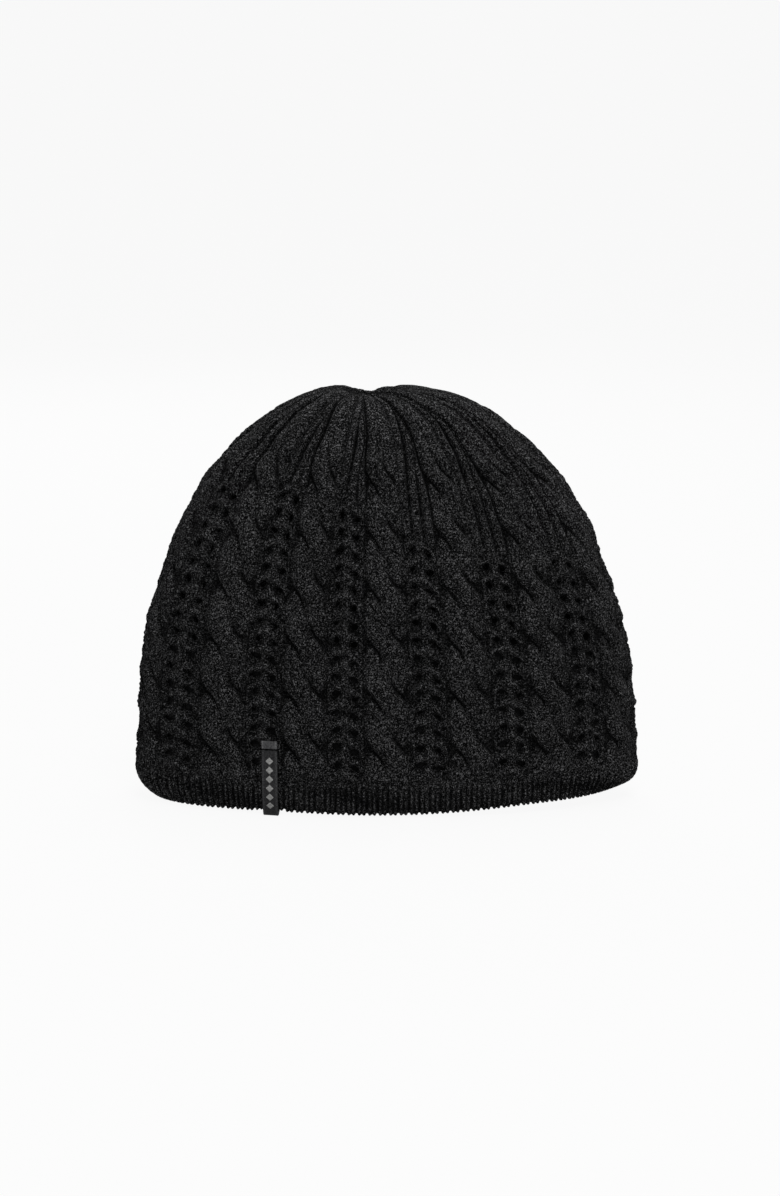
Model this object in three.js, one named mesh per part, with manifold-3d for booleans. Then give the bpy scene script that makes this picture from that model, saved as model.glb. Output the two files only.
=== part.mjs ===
// A knitted beanie standing on its hem, in millimetres, +Z up.
// The origin is at the centre of the hat's footprint. X is its width, Y its depth, and -Y its front.
// A cable-and-lace knit shell, narrowed and gathered at the crown, stands on a ribbed hem. Inside it, a
// fleece ear band is sewn to the hem and tacked to the knit. A woven tab wraps the hem, and a care label
// hangs from the ear band's back seam.
import * as THREE from 'three';
import { mergeVertices } from 'three/addons/utils/BufferGeometryUtils.js';
import Module from 'manifold-3d';

const wasm = await Module();
wasm.setup();

// The hat's outer face
const WIDTH = 240;
const DEPTH = 100;
const HEIGHT = 201; // to the crown, before the gather pulls it down
const WIDEST_AT = 30; // the level where the hat is widest
const HEM_DRAW_WIDTH = 0.1; // how much the rib draws the hem in, as a share of the half-width
const HEM_DRAW_DEPTH = 0.14;
const HEM_CURVE = 4; // how quickly the drawn-in hem swells to the full width
const SIDE_POWER = 2.3; // the superellipse of the front view: its sides and its top
const TOP_POWER = 2.1;
const DEPTH_POWER = 2.8; // the same for the side view
const DIMPLE_DEPTH = 2.5; // the dip that the gather makes in the crown
const DIMPLE_RADIUS = 14;
const LEAN = -3.3; // sideways lean of the centre line at the crown
const GATHER_SHIFT = -7.5; // further shift of the gathered point itself
const GATHER_SHIFT_POWER = 24;

// Fabric and clearances
const WALL = 4; // knit fabric
const GAP = 0.3; // between pieces that touch
const THREAD = 0.6; // sewing thread as it stands on a surface

// Knitted sections
const RIB_HEIGHT = 20;
const CROWN_START = 125;
const SEAM_WIDTH = 2.4;
const GATHER_HOLE_RADIUS = 3.2;
const YARN_RADIUS = 0.7;
const KNOT_RADIUS = 2.5;
const KNOT_TAIL_LENGTH = 14;

// Fleece ear band
const FLEECE = 2.2;
const BAND_START = 10;
const BAND_HEIGHT = 70;
const BAND_SEAM_WIDTH = 3;
const BAND_SEAM_THICK = 1.2;
const BAND_SEAM_MARGIN = 4; // from the hem stitching to the seam's lower end
const OVERLOCK_HEIGHT = 1.2;
const HEM_STITCH_MARGIN = 1.5; // from the band's lower edge to its stitching
const HEM_STITCH_HEIGHT = 1;
const TACK_WIDTH = 10;
const TACK_HEIGHT = 2;
const TACK_MARGIN = 4; // from the band's top edge down to a tack

// Woven tab round the hem
const TAB_X = -55.5;
const TAB_WIDTH = 7.4;
const TAB_HEIGHT = 38;
const TAB_THICK = 0.8;
const TAB_STITCH_OVERHANG = 0.9;
const TAB_STITCH_BELOW_TOP = 4.2;
const TAB_STITCH_INSIDE_AT = 5;

// Care label
const LABEL_WIDTH = 20;
const LABEL_HEIGHT = 40;
const LABEL_THICK = 0.8;
const LABEL_START = 22;
const LABEL_CLEARANCE = 0.6; // from its sewn edge to the stitching, so that it can flip

// How finely the curved faces are divided
const AROUND = 48;
const LOWER_STEPS = 6;
const UPPER_STEPS = 16;
const BELOW_HEM = 10; // how far a full solid runs below the hem before it is cut off level
const FAR = 2 * (WIDTH + DEPTH + HEIGHT);

const bandOuter = WALL + GAP;
const bandInner = bandOuter + FLEECE;
const bandEnd = BAND_START + BAND_HEIGHT;
const onBand = bandInner + GAP;
const hemStitchAt = BAND_START + HEM_STITCH_MARGIN;
const bandSeamStart = hemStitchAt + HEM_STITCH_HEIGHT + BAND_SEAM_MARGIN;
const tackAt = bandEnd - TACK_MARGIN - TACK_HEIGHT;

// Colours and surfaces
const yarnBlack = { color: 0x1b1b1d, roughness: 0.95, metalness: 0 };
const fleeceBlack = { color: 0x161618, roughness: 1, metalness: 0 };
const threadBlack = { color: 0x101012, roughness: 0.7, metalness: 0 };
const tabGrey = { color: 0x2e2e31, roughness: 0.75, metalness: 0 };
const satinWhite = { color: 0xe8e8e4, roughness: 0.45, metalness: 0 };

// A level below the widest one, moved inwards by inset. rise goes from 0 at the hem to 1 at the widest level.
function lowerLevel(rise, inset) {
  const drawn = (1 - rise) ** HEM_CURVE;
  return {
    halfWidth: (WIDTH / 2) * (1 - HEM_DRAW_WIDTH * drawn) - inset,
    halfDepth: (DEPTH / 2) * (1 - HEM_DRAW_DEPTH * drawn) - inset,
    z: rise * WIDEST_AT,
  };
}

// A level above the widest one. turn goes from 0 at the widest level to a right angle at the gather.
function upperLevel(turn, inset) {
  const inwards = Math.max(0, Math.cos(turn));
  const upwards = Math.sin(turn);
  const halfWidth = (WIDTH / 2 - inset) * inwards ** (2 / SIDE_POWER);
  const dip = DIMPLE_DEPTH * Math.exp(-((halfWidth / DIMPLE_RADIUS) ** 2));
  return {
    halfWidth,
    halfDepth: (DEPTH / 2 - inset) * inwards ** (2 / DEPTH_POWER),
    z: WIDEST_AT + (HEIGHT - WIDEST_AT - inset) * upwards ** (2 / TOP_POWER) - dip,
  };
}

// The levels of a full solid of the hat, from below the hem to the gather.
function levels(inset) {
  const hem = lowerLevel(0, inset);
  const list = [
    { halfWidth: 0, halfDepth: 0, z: -BELOW_HEM },
    { ...hem, z: -BELOW_HEM },
  ];
  for (let i = 0; i < LOWER_STEPS; i++) {
    list.push(lowerLevel(i / LOWER_STEPS, inset));
  }
  for (let i = 0; i < UPPER_STEPS; i++) {
    list.push(upperLevel(((i / UPPER_STEPS) * Math.PI) / 2, inset));
  }
  const gather = upperLevel(Math.PI / 2, inset);
  list.push({ halfWidth: 0, halfDepth: 0, z: gather.z });
  return list;
}

// A closed three.js geometry as a solid that can be cut and joined.
function solidOf(geometry) {
  geometry.deleteAttribute('normal');
  geometry.deleteAttribute('uv');
  const merged = mergeVertices(geometry);
  const index = merged.index.array;
  const triVerts = [];
  for (let i = 0; i < index.length; i += 3) {
    const [a, b, c] = index.slice(i, i + 3);
    if (a !== b && b !== c && c !== a) {
      triVerts.push(a, b, c);
    }
  }
  const vertProperties = new Float32Array(merged.attributes.position.array);
  const mesh = new wasm.Mesh({ numProp: 3, vertProperties, triVerts: new Uint32Array(triVerts) });
  return new wasm.Manifold(mesh);
}

// The full solid inside the hat's outer face moved inwards by inset: a lathe with its rings pressed to
// ellipses.
function dome(inset) {
  const list = levels(inset);
  const outline = list.map((level) => new THREE.Vector2(level.halfWidth, level.z));
  const geometry = new THREE.LatheGeometry(outline, AROUND);
  const position = geometry.attributes.position;
  for (let i = 0; i < position.count; i++) {
    const { halfWidth, halfDepth } = list[i % list.length];
    const squeeze = halfWidth > 0 ? halfDepth / halfWidth : 1;
    position.setZ(i, position.getZ(i) * squeeze);
  }
  geometry.rotateX(Math.PI / 2);
  return solidOf(geometry);
}

// A box between two corners, turned about Z and moved to a place.
function box(low, high, turn = 0, place = new THREE.Vector3()) {
  const size = new THREE.Vector3().subVectors(high, low);
  const geometry = new THREE.BoxGeometry(size.x, size.y, size.z);
  const middle = new THREE.Vector3().addVectors(low, high).multiplyScalar(0.5);
  geometry.translate(middle.x, middle.y, middle.z);
  geometry.rotateZ(turn);
  geometry.translate(place.x, place.y, place.z);
  return solidOf(geometry);
}

const point = (x, y, z) => new THREE.Vector3(x, y, z);
const slab = (from, to) => box(point(-FAR, -FAR, from), point(FAR, FAR, to));

// A layer of cloth between two insets and two heights.
function layer(outerInset, innerInset, from, to) {
  return dome(outerInset).subtract(dome(innerInset)).intersect(slab(from, to));
}

// A column of a given width that runs from the middle plane straight back.
function atBack(width, from = 0) {
  return box(point(-width / 2, from, -FAR), point(width / 2, FAR, FAR));
}

// The place on the outer face at a height and a distance across, with the way that it faces.
function frontPlace(x, z) {
  const { halfWidth, halfDepth } = lowerLevel(z / WIDEST_AT, 0);
  const y = -halfDepth * Math.sqrt(1 - (x / halfWidth) ** 2);
  const facing = Math.atan2(y / halfDepth ** 2, x / halfWidth ** 2) + Math.PI / 2;
  return { place: point(x, y, 0), facing };
}

// The half-depth of the face moved inwards by inset, at a height clear of the dimple.
function halfDepthAt(z, inset) {
  if (z <= WIDEST_AT) {
    return lowerLevel(z / WIDEST_AT, inset).halfDepth;
  }
  const upwards = ((z - WIDEST_AT) / (HEIGHT - WIDEST_AT - inset)) ** TOP_POWER;
  return (DEPTH / 2 - inset) * (1 - upwards) ** (1 / DEPTH_POWER);
}

const rightAngle = Math.PI / 2;
const backSeamSlot = atBack(SEAM_WIDTH + 2 * GAP);
const gatherHole = solidOf(
  new THREE.CylinderGeometry(GATHER_HOLE_RADIUS, GATHER_HOLE_RADIUS, FAR, 24).rotateX(rightAngle),
);
const tab = frontPlace(TAB_X, RIB_HEIGHT / 2);

// A column through the front wall at the tab.
function tabColumn(width, from, to) {
  const reach = DEPTH / 4;
  return box(point(-width / 2, -reach, from), point(width / 2, reach, to), tab.facing, tab.place);
}

function knitSection(from, to) {
  return layer(0, WALL, from, to).subtract(backSeamSlot).subtract(gatherHole);
}

function ribHem() {
  const notch = tabColumn(TAB_WIDTH + 2 * GAP, -BELOW_HEM, TAB_THICK + GAP);
  return knitSection(0, RIB_HEIGHT).subtract(notch);
}

function backSeam() {
  const start = GATHER_HOLE_RADIUS + GAP;
  return layer(0, WALL, 0, HEIGHT).intersect(atBack(SEAM_WIDTH, start));
}

function gatherYarn() {
  const middle = upperLevel(rightAngle, WALL / 2).z;
  const ring = new THREE.TorusGeometry(GATHER_HOLE_RADIUS - GAP - YARN_RADIUS, YARN_RADIUS, 8, 24);
  return solidOf(ring.translate(0, 0, middle));
}

// The round section of a yarn end.
function yarnSection() {
  const circle = new THREE.Shape();
  circle.absarc(0, 0, YARN_RADIUS, 0, 2 * Math.PI);
  return circle;
}

// The knot under the gather, with the yarn's two cut ends hanging from it.
function crownKnot() {
  const top = upperLevel(rightAngle, WALL / 2).z - YARN_RADIUS - GAP;
  const middle = top - KNOT_RADIUS;
  let knot = solidOf(new THREE.SphereGeometry(KNOT_RADIUS, 16, 10).translate(0, 0, middle));
  for (const side of [-1, 1]) {
    const end = new THREE.QuadraticBezierCurve3(
      point(0, 0, middle),
      point(side * KNOT_RADIUS, KNOT_RADIUS, middle - KNOT_TAIL_LENGTH / 2),
      point(side * 2 * KNOT_RADIUS, 0, middle - KNOT_TAIL_LENGTH),
    );
    const tube = new THREE.ExtrudeGeometry(yarnSection(), {
      steps: 6,
      curveSegments: 4,
      bevelEnabled: false,
      extrudePath: end,
    });
    knot = knot.add(solidOf(tube));
  }
  return knot;
}

function earBandSeam() {
  const ridge = layer(onBand, onBand + BAND_SEAM_THICK, bandSeamStart, tackAt - GAP);
  return ridge.intersect(atBack(BAND_SEAM_WIDTH));
}

// A bar tack on the ear band where the hat's middle planes meet it.
function tack(turn) {
  const spot = box(point(-TACK_WIDTH / 2, 0, tackAt), point(TACK_WIDTH / 2, FAR, tackAt + TACK_HEIGHT), turn);
  return layer(onBand, onBand + THREAD, tackAt, tackAt + TACK_HEIGHT).intersect(spot);
}

// The tab runs down the outside, under the hem and up the inside to the ear band.
function brandTab() {
  const outer = -(GAP + TAB_THICK);
  const inner = WALL + GAP + TAB_THICK;
  const front = layer(outer, -GAP, 0, TAB_HEIGHT);
  const fold = layer(outer, inner, 0, TAB_THICK);
  const inside = layer(WALL + GAP, inner, 0, BAND_START - GAP);
  return front.add(fold).add(inside).intersect(tabColumn(TAB_WIDTH, 0, TAB_HEIGHT));
}

// A row of stitching across the tab, from an inset, at a height.
function tabStitching(inset, at) {
  const width = TAB_WIDTH + 2 * TAB_STITCH_OVERHANG;
  return layer(inset, inset + THREAD, at, at + THREAD).intersect(tabColumn(width, at, at + THREAD));
}

const labelEnd = LABEL_START + LABEL_HEIGHT;
const seamFaces = [LABEL_START, labelEnd].map((z) => halfDepthAt(z, onBand + BAND_SEAM_THICK));
const labelStitchFace = Math.min(...seamFaces) - GAP - THREAD;
const hingeY = labelStitchFace - LABEL_CLEARANCE - LABEL_THICK / 2;

// The care label: a plate that turns about the rounded edge caught in the ear band's seam.
function careLabel() {
  const half = LABEL_THICK / 2;
  const plan = new THREE.Shape();
  plan.moveTo(0, -half);
  plan.lineTo(LABEL_WIDTH, -half);
  plan.lineTo(LABEL_WIDTH, half);
  plan.lineTo(0, half);
  plan.absarc(0, 0, half, rightAngle, 3 * rightAngle, false);
  const geometry = new THREE.ExtrudeGeometry(plan, {
    depth: LABEL_HEIGHT,
    curveSegments: 6,
    bevelEnabled: false,
  });
  return solidOf(geometry.translate(0, hingeY, LABEL_START));
}

function careLabelStitching() {
  const low = point(-THREAD / 2, labelStitchFace, LABEL_START);
  const high = point(THREAD / 2, labelStitchFace + THREAD, labelEnd);
  return box(low, high);
}

// The sideways shift of the centre line at a height.
function leanAt(z) {
  const rise = Math.max(0, (z - WIDEST_AT) / (HEIGHT - WIDEST_AT));
  return LEAN * rise + GATHER_SHIFT * rise ** GATHER_SHIFT_POWER;
}

// A solid as a named mesh, shifted sideways at each height by shiftAt.
function meshOf(name, solid, look, shiftAt) {
  const { vertProperties, triVerts } = solid.getMesh();
  const position = new THREE.BufferAttribute(new Float32Array(vertProperties), 3);
  for (let i = 0; i < position.count; i++) {
    position.setX(i, position.getX(i) + shiftAt(position.getZ(i)));
  }
  const geometry = new THREE.BufferGeometry();
  geometry.setAttribute('position', position);
  geometry.setIndex(new THREE.BufferAttribute(new Uint32Array(triVerts), 1));
  geometry.computeVertexNormals();
  const mesh = new THREE.Mesh(geometry, new THREE.MeshStandardMaterial(look));
  mesh.name = name;
  return mesh;
}

const beanie = new THREE.Group();

// Adds a piece that leans with the hat, unless it has a shift of its own.
function addPiece(name, solid, look, shiftAt = leanAt) {
  beanie.add(meshOf(name, solid, look, shiftAt));
}

addPiece('rib_hem', ribHem(), yarnBlack);
addPiece('knit_body', knitSection(RIB_HEIGHT + GAP, CROWN_START), yarnBlack);
addPiece('knit_crown', knitSection(CROWN_START + GAP, HEIGHT), yarnBlack);
addPiece('back_seam', backSeam(), yarnBlack);
addPiece('crown_gather_yarn', gatherYarn(), yarnBlack);
addPiece('crown_knot', crownKnot(), yarnBlack);

addPiece('ear_band', layer(bandOuter, bandInner, BAND_START, bandEnd), fleeceBlack);
addPiece('ear_band_seam', earBandSeam(), fleeceBlack);
const overlockStart = bandEnd + GAP;
const overlock = layer(bandOuter, bandInner, overlockStart, overlockStart + OVERLOCK_HEIGHT);
addPiece('ear_band_top_overlock', overlock, threadBlack);
const hemStitching = layer(onBand, onBand + THREAD, hemStitchAt, hemStitchAt + HEM_STITCH_HEIGHT);
addPiece('ear_band_hem_stitching', hemStitching, threadBlack);
['back', 'left', 'front', 'right'].forEach((side, i) => {
  addPiece(`ear_band_tack_${side}`, tack(i * rightAngle), threadBlack);
});

addPiece('brand_tab', brandTab(), tabGrey);
const tabFrontInset = -(2 * GAP + TAB_THICK + THREAD);
const tabInsideInset = WALL + 2 * GAP + TAB_THICK;
const tabFrontStitchAt = TAB_HEIGHT - TAB_STITCH_BELOW_TOP;
addPiece('brand_tab_front_stitching', tabStitching(tabFrontInset, tabFrontStitchAt), threadBlack);
addPiece('brand_tab_inside_stitching', tabStitching(tabInsideInset, TAB_STITCH_INSIDE_AT), threadBlack);

// The care label stays upright, so that it turns about one straight line.
const labelShift = leanAt(LABEL_START + LABEL_HEIGHT / 2);
addPiece('care_label', careLabel(), satinWhite, () => labelShift);
addPiece('care_label_stitching', careLabelStitching(), threadBlack, () => labelShift);

export default beanie;
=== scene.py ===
"""A knitted beanie standing on its hem: cable-and-lace knit shell, ribbed hem, gathered crown, fleece ear band,
woven tab and care label.

All lengths are in metres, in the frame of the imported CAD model: +Z up, the front towards -Y, the hem at Z = 0.
The knit is worked out on a grid of wales (the columns of stitches, round the hat) and courses (the rows,
from the hem up to the gather).
"""

import logging
import math
from dataclasses import dataclass, field
from enum import Enum
from functools import cached_property
from typing import Sequence

import bpy
import numpy as np
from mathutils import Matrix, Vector


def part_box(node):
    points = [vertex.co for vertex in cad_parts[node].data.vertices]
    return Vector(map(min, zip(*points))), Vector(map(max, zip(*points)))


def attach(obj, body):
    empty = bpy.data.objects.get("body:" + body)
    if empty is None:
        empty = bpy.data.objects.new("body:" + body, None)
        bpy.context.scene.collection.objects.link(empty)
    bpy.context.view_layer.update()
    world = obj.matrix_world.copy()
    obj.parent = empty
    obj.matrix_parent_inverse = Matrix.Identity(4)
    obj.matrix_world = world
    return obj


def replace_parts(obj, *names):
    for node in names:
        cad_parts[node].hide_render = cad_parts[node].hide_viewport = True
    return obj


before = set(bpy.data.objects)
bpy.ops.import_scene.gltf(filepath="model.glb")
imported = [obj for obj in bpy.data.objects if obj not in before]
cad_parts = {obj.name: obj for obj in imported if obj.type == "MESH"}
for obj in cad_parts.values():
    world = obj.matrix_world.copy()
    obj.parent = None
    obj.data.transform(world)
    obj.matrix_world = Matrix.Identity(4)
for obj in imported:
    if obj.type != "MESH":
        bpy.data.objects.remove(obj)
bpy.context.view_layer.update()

LOG = logging.getLogger("beanie")
MM = 0.001
HAT_BODY = "hat"
LABEL_BODY = "care_label"
BAKE_MAP = "OFBake"
STITCH_MAP = "Stitches"
# Mesh attribute that carries shade and light painted into the colours: darker in grooves, round eyelets and inside
# the hem, lighter on rib crowns and tape edges.
PAINTED_SHADING = "tone"
WIDEST_ROUND = 0.557
WELD_DISTANCE = 1e-8
Array = np.ndarray
Material = bpy.types.Material
Object = bpy.types.Object
Socket = bpy.types.NodeSocket
Area = tuple[float, float, float, float]
WHOLE_MAP: Area = (0.0, 0.0, 1.0, 1.0)


def smoothstep(low: float | Array, high: float | Array, value: Array) -> Array:
    """Eased ramp: 0 below low, 1 above high, with level ends (3t^2 - 2t^3).

    Args:
        low: where the ramp starts.
        high: where the ramp ends.
        value: the values to ramp.

    Returns:
        The ramp at each value.
    """
    t = np.clip((value - low) / (high - low), 0.0, 1.0)
    return t * t * (3.0 - 2.0 * t)


def bump(centre: float | Array, width: float, value: Array) -> Array:
    """Bell curve exp(-((value - centre) / width)^2).

    Args:
        centre: where the bell stands.
        width: the distance at which it falls to 1/e.
        value: the values to look up.

    Returns:
        The height of the bell, from 0 to 1.
    """
    return np.exp(-(((value - centre) / width) ** 2))


def spread(*parts: Array | float) -> Array:
    """Stacks values on a new last axis, each spread over the shape that all of them share."""
    return np.stack(np.broadcast_arrays(*parts), axis=-1)


def node_box(node: str) -> tuple[Array, Array]:
    """Lowest and highest corner of a CAD node at rest."""
    low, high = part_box(node)
    return np.array(low), np.array(high)


# --------------------------------------------------------------------------------------------------
# Meshes


@dataclass
class Patch:
    """Points and faces of one stretch of surface, with a place in the bake map for every point.

    Quads run over a grid of rows by columns, with the outside seen where columns run rightwards and rows upwards.
    """

    points: Array
    quads: Array
    tris: Array
    bake_uv: Array
    stitch_uv: Array
    tone: Array

    @classmethod
    def grid(
        cls,
        points: Array,
        bake_area: Area,
        stitch: Array | None = None,
        keep: Array | None = None,
        tone: Array | float = 1.0,
        closed: bool = False,
        inside_out: bool = False,
    ) -> "Patch":
        """Makes a patch from a grid of points.

        Args:
            points: rows x columns x 3.
            bake_area: low u, low v, high u and high v of its part of the bake map.
            stitch: rows x columns x 2, wale and course counts for the knit's pattern, or None for the grid's own.
            keep: (rows - 1) x (columns - 1), False where a face is left out.
            tone: rows x columns, shade painted into the colour at each point, from 0, darkest, in a groove, to 1,
                unshaded.
            closed: the last column repeats the first, so the two share their points.
            inside_out: the outside is seen where columns run leftwards.

        Returns:
            The patch.
        """
        rows, columns = points.shape[:2]
        kept = np.s_[:] if keep is None else keep

        def cells(index: Array) -> Array:
            """The four corners of every kept face, in order round it."""
            corners = [index[:-1, :-1], index[:-1, 1:], index[1:, 1:], index[1:, :-1]]
            return np.stack(corners[::-1] if inside_out else corners, axis=-1)[kept].reshape(-1, 4)

        own = np.arange(rows * columns).reshape(rows, columns)
        shared = own.copy()
        if closed:
            shared[:, -1] = shared[:, 0]
        loops = cells(own).ravel()
        bake = spread(
            np.linspace(bake_area[0], bake_area[2], columns)[None, :],
            np.linspace(bake_area[1], bake_area[3], rows)[:, None],
        )
        if stitch is None:
            stitch = spread(np.arange(columns)[None, :], np.arange(rows)[:, None])
        return cls(
            points.reshape(-1, 3),
            cells(shared),
            np.zeros((0, 3), int),
            bake.reshape(-1, 2)[loops],
            stitch.reshape(-1, 2).astype(float)[loops],
            np.broadcast_to(tone, (rows, columns)).reshape(-1).astype(float),
        )


def join(patches: Sequence[Patch]) -> Patch:
    """Joins patches into one, keeping every patch's own points.

    Args:
        patches: the patches, in order.

    Returns:
        One patch with all the quads first, and then all the triangles.
    """
    starts = np.cumsum([0] + [len(p.points) for p in patches[:-1]])
    quad_loops = [4 * len(p.quads) for p in patches]

    def in_order(maps: list[Array]) -> Array:
        """Puts the quads' corners of every map before the triangles' corners."""
        ahead = [one[:count] for one, count in zip(maps, quad_loops)]
        return np.concatenate(ahead + [one[count:] for one, count in zip(maps, quad_loops)])

    return Patch(
        np.concatenate([p.points for p in patches]),
        np.concatenate([p.quads + start for p, start in zip(patches, starts)]),
        np.concatenate([p.tris + start for p, start in zip(patches, starts)]),
        in_order([p.bake_uv for p in patches]),
        in_order([p.stitch_uv for p in patches]),
        np.concatenate([p.tone for p in patches]),
    )


def weld(patch: Patch) -> Patch:
    """Merges points that lie in exactly the same place, so that walls join the faces they edge.

    A quad with two corners in one place becomes a triangle, and a triangle with two is left out.

    Args:
        patch: the patch.

    Returns:
        The same surface on fewer points.
    """
    rounded = np.round(patch.points / WELD_DISTANCE).astype(np.int64)
    _, first, number = np.unique(rounded, axis=0, return_index=True, return_inverse=True)
    number = number.reshape(-1)
    order = np.argsort(number, kind="stable")
    tone = np.minimum.reduceat(patch.tone[order], np.searchsorted(number[order], np.arange(len(first))))
    quads, tris, loops = number[patch.quads], number[patch.tris], 4 * len(patch.quads)
    same = quads == np.roll(quads, -1, axis=1)
    pinched = same.any(axis=1)
    corners = (np.argmax(same[pinched], axis=1)[:, None] + np.arange(1, 4)) % 4
    tris = np.concatenate([tris, np.take_along_axis(quads[pinched], corners, axis=1)])
    whole = (tris != np.roll(tris, -1, axis=1)).all(axis=1)
    maps = []
    for uv in (patch.bake_uv, patch.stitch_uv):
        square, three = uv[:loops].reshape(-1, 4, 2), uv[loops:].reshape(-1, 3, 2)
        cut = np.take_along_axis(square[pinched], corners[..., None], axis=1)
        kept = np.concatenate([three, cut])[whole]
        maps.append(np.concatenate([square[~pinched].reshape(-1, 2), kept.reshape(-1, 2)]))
    return Patch(patch.points[first], quads[~pinched], tris[whole], maps[0], maps[1], tone)


def make_object(
    name: str, patch: Patch, materials: Sequence[Material], slots: Array | None = None
) -> Object:
    """Puts a patch into a new smooth-shaded mesh object at the origin.

    Args:
        name: the piece's name.
        patch: its points and faces.
        materials: its materials, in slot order.
        slots: the material slot of each face, quads first, or None where all have the first.

    Returns:
        The object, linked to the scene.
    """
    used, loops = np.unique(np.concatenate([patch.quads.ravel(), patch.tris.ravel()]), return_inverse=True)
    sizes = np.concatenate([np.full(len(patch.quads), 4), np.full(len(patch.tris), 3)])
    mesh = bpy.data.meshes.new(name)
    mesh.vertices.add(len(used))
    mesh.vertices.foreach_set("co", patch.points[used].astype(np.float32).ravel())
    mesh.loops.add(len(loops))
    mesh.loops.foreach_set("vertex_index", loops.astype(np.int32))
    mesh.polygons.add(len(sizes))
    mesh.polygons.foreach_set("loop_start", (np.cumsum(sizes) - sizes).astype(np.int32))
    for map_name, uv in ((BAKE_MAP, patch.bake_uv), (STITCH_MAP, patch.stitch_uv)):
        layer = mesh.uv_layers.new(name=map_name)
        layer.data.foreach_set("uv", uv.astype(np.float32).ravel())
    mesh.attributes.new(PAINTED_SHADING, "FLOAT", "POINT").data.foreach_set("value", patch.tone[used].astype(np.float32))
    for material in materials:
        mesh.materials.append(material)
    if slots is not None:
        mesh.polygons.foreach_set("material_index", slots.astype(np.int32))
    mesh.update(calc_edges=True)
    mesh.shade_smooth()
    made = bpy.data.objects.new(name, mesh)
    bpy.context.scene.collection.objects.link(made)
    return made


def tube_patch(path: Array, radius: float | Array, sides: int = 6, closed: bool = False) -> Patch:
    """A round tube along a path, with shut ends unless it is closed on itself.

    At each point of the path the ring lies across the path's direction. Its sideways axis is the one across the
    direction and the way outwards from the hat's middle, so that the tube doesn't twist.

    Args:
        path: count x 3 points.
        radius: one radius, or one for each point.
        sides: the corners of the section.
        closed: the path runs back into its own start.

    Returns:
        The tube, over the whole bake map.
    """
    if closed:
        ahead = np.roll(path, -1, 0) - np.roll(path, 1, 0)
        path, ahead = np.concatenate([path, path[:1]]), np.concatenate([ahead, ahead[:1]])
    else:
        ahead = np.gradient(path, axis=0)
    ahead /= np.linalg.norm(ahead, axis=1, keepdims=True) + 1e-12
    guide = path * np.array([0.2, 1.0, 0.0]) + np.array([0.0003, 0.0005, 0.02])
    side = np.cross(guide, ahead)
    side /= np.linalg.norm(side, axis=1, keepdims=True) + 1e-12
    other = np.cross(ahead, side)
    turn = np.linspace(0.0, 2 * math.pi, sides + 1)
    size = np.broadcast_to(np.asarray(radius, float), (len(path),))
    ring = np.cos(turn)[None, :, None] * side[:, None, :] + np.sin(turn)[None, :, None] * other[:, None, :]
    points = path[:, None, :] + ring * size[:, None, None]
    if not closed:
        ends = [np.repeat(points[i].mean(0)[None, None, :], sides + 1, 1) for i in (0, -1)]
        points = np.concatenate([ends[0], points, ends[1]])
    return Patch.grid(points, WHOLE_MAP, closed=True)


# --------------------------------------------------------------------------------------------------
# Finishes


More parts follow.
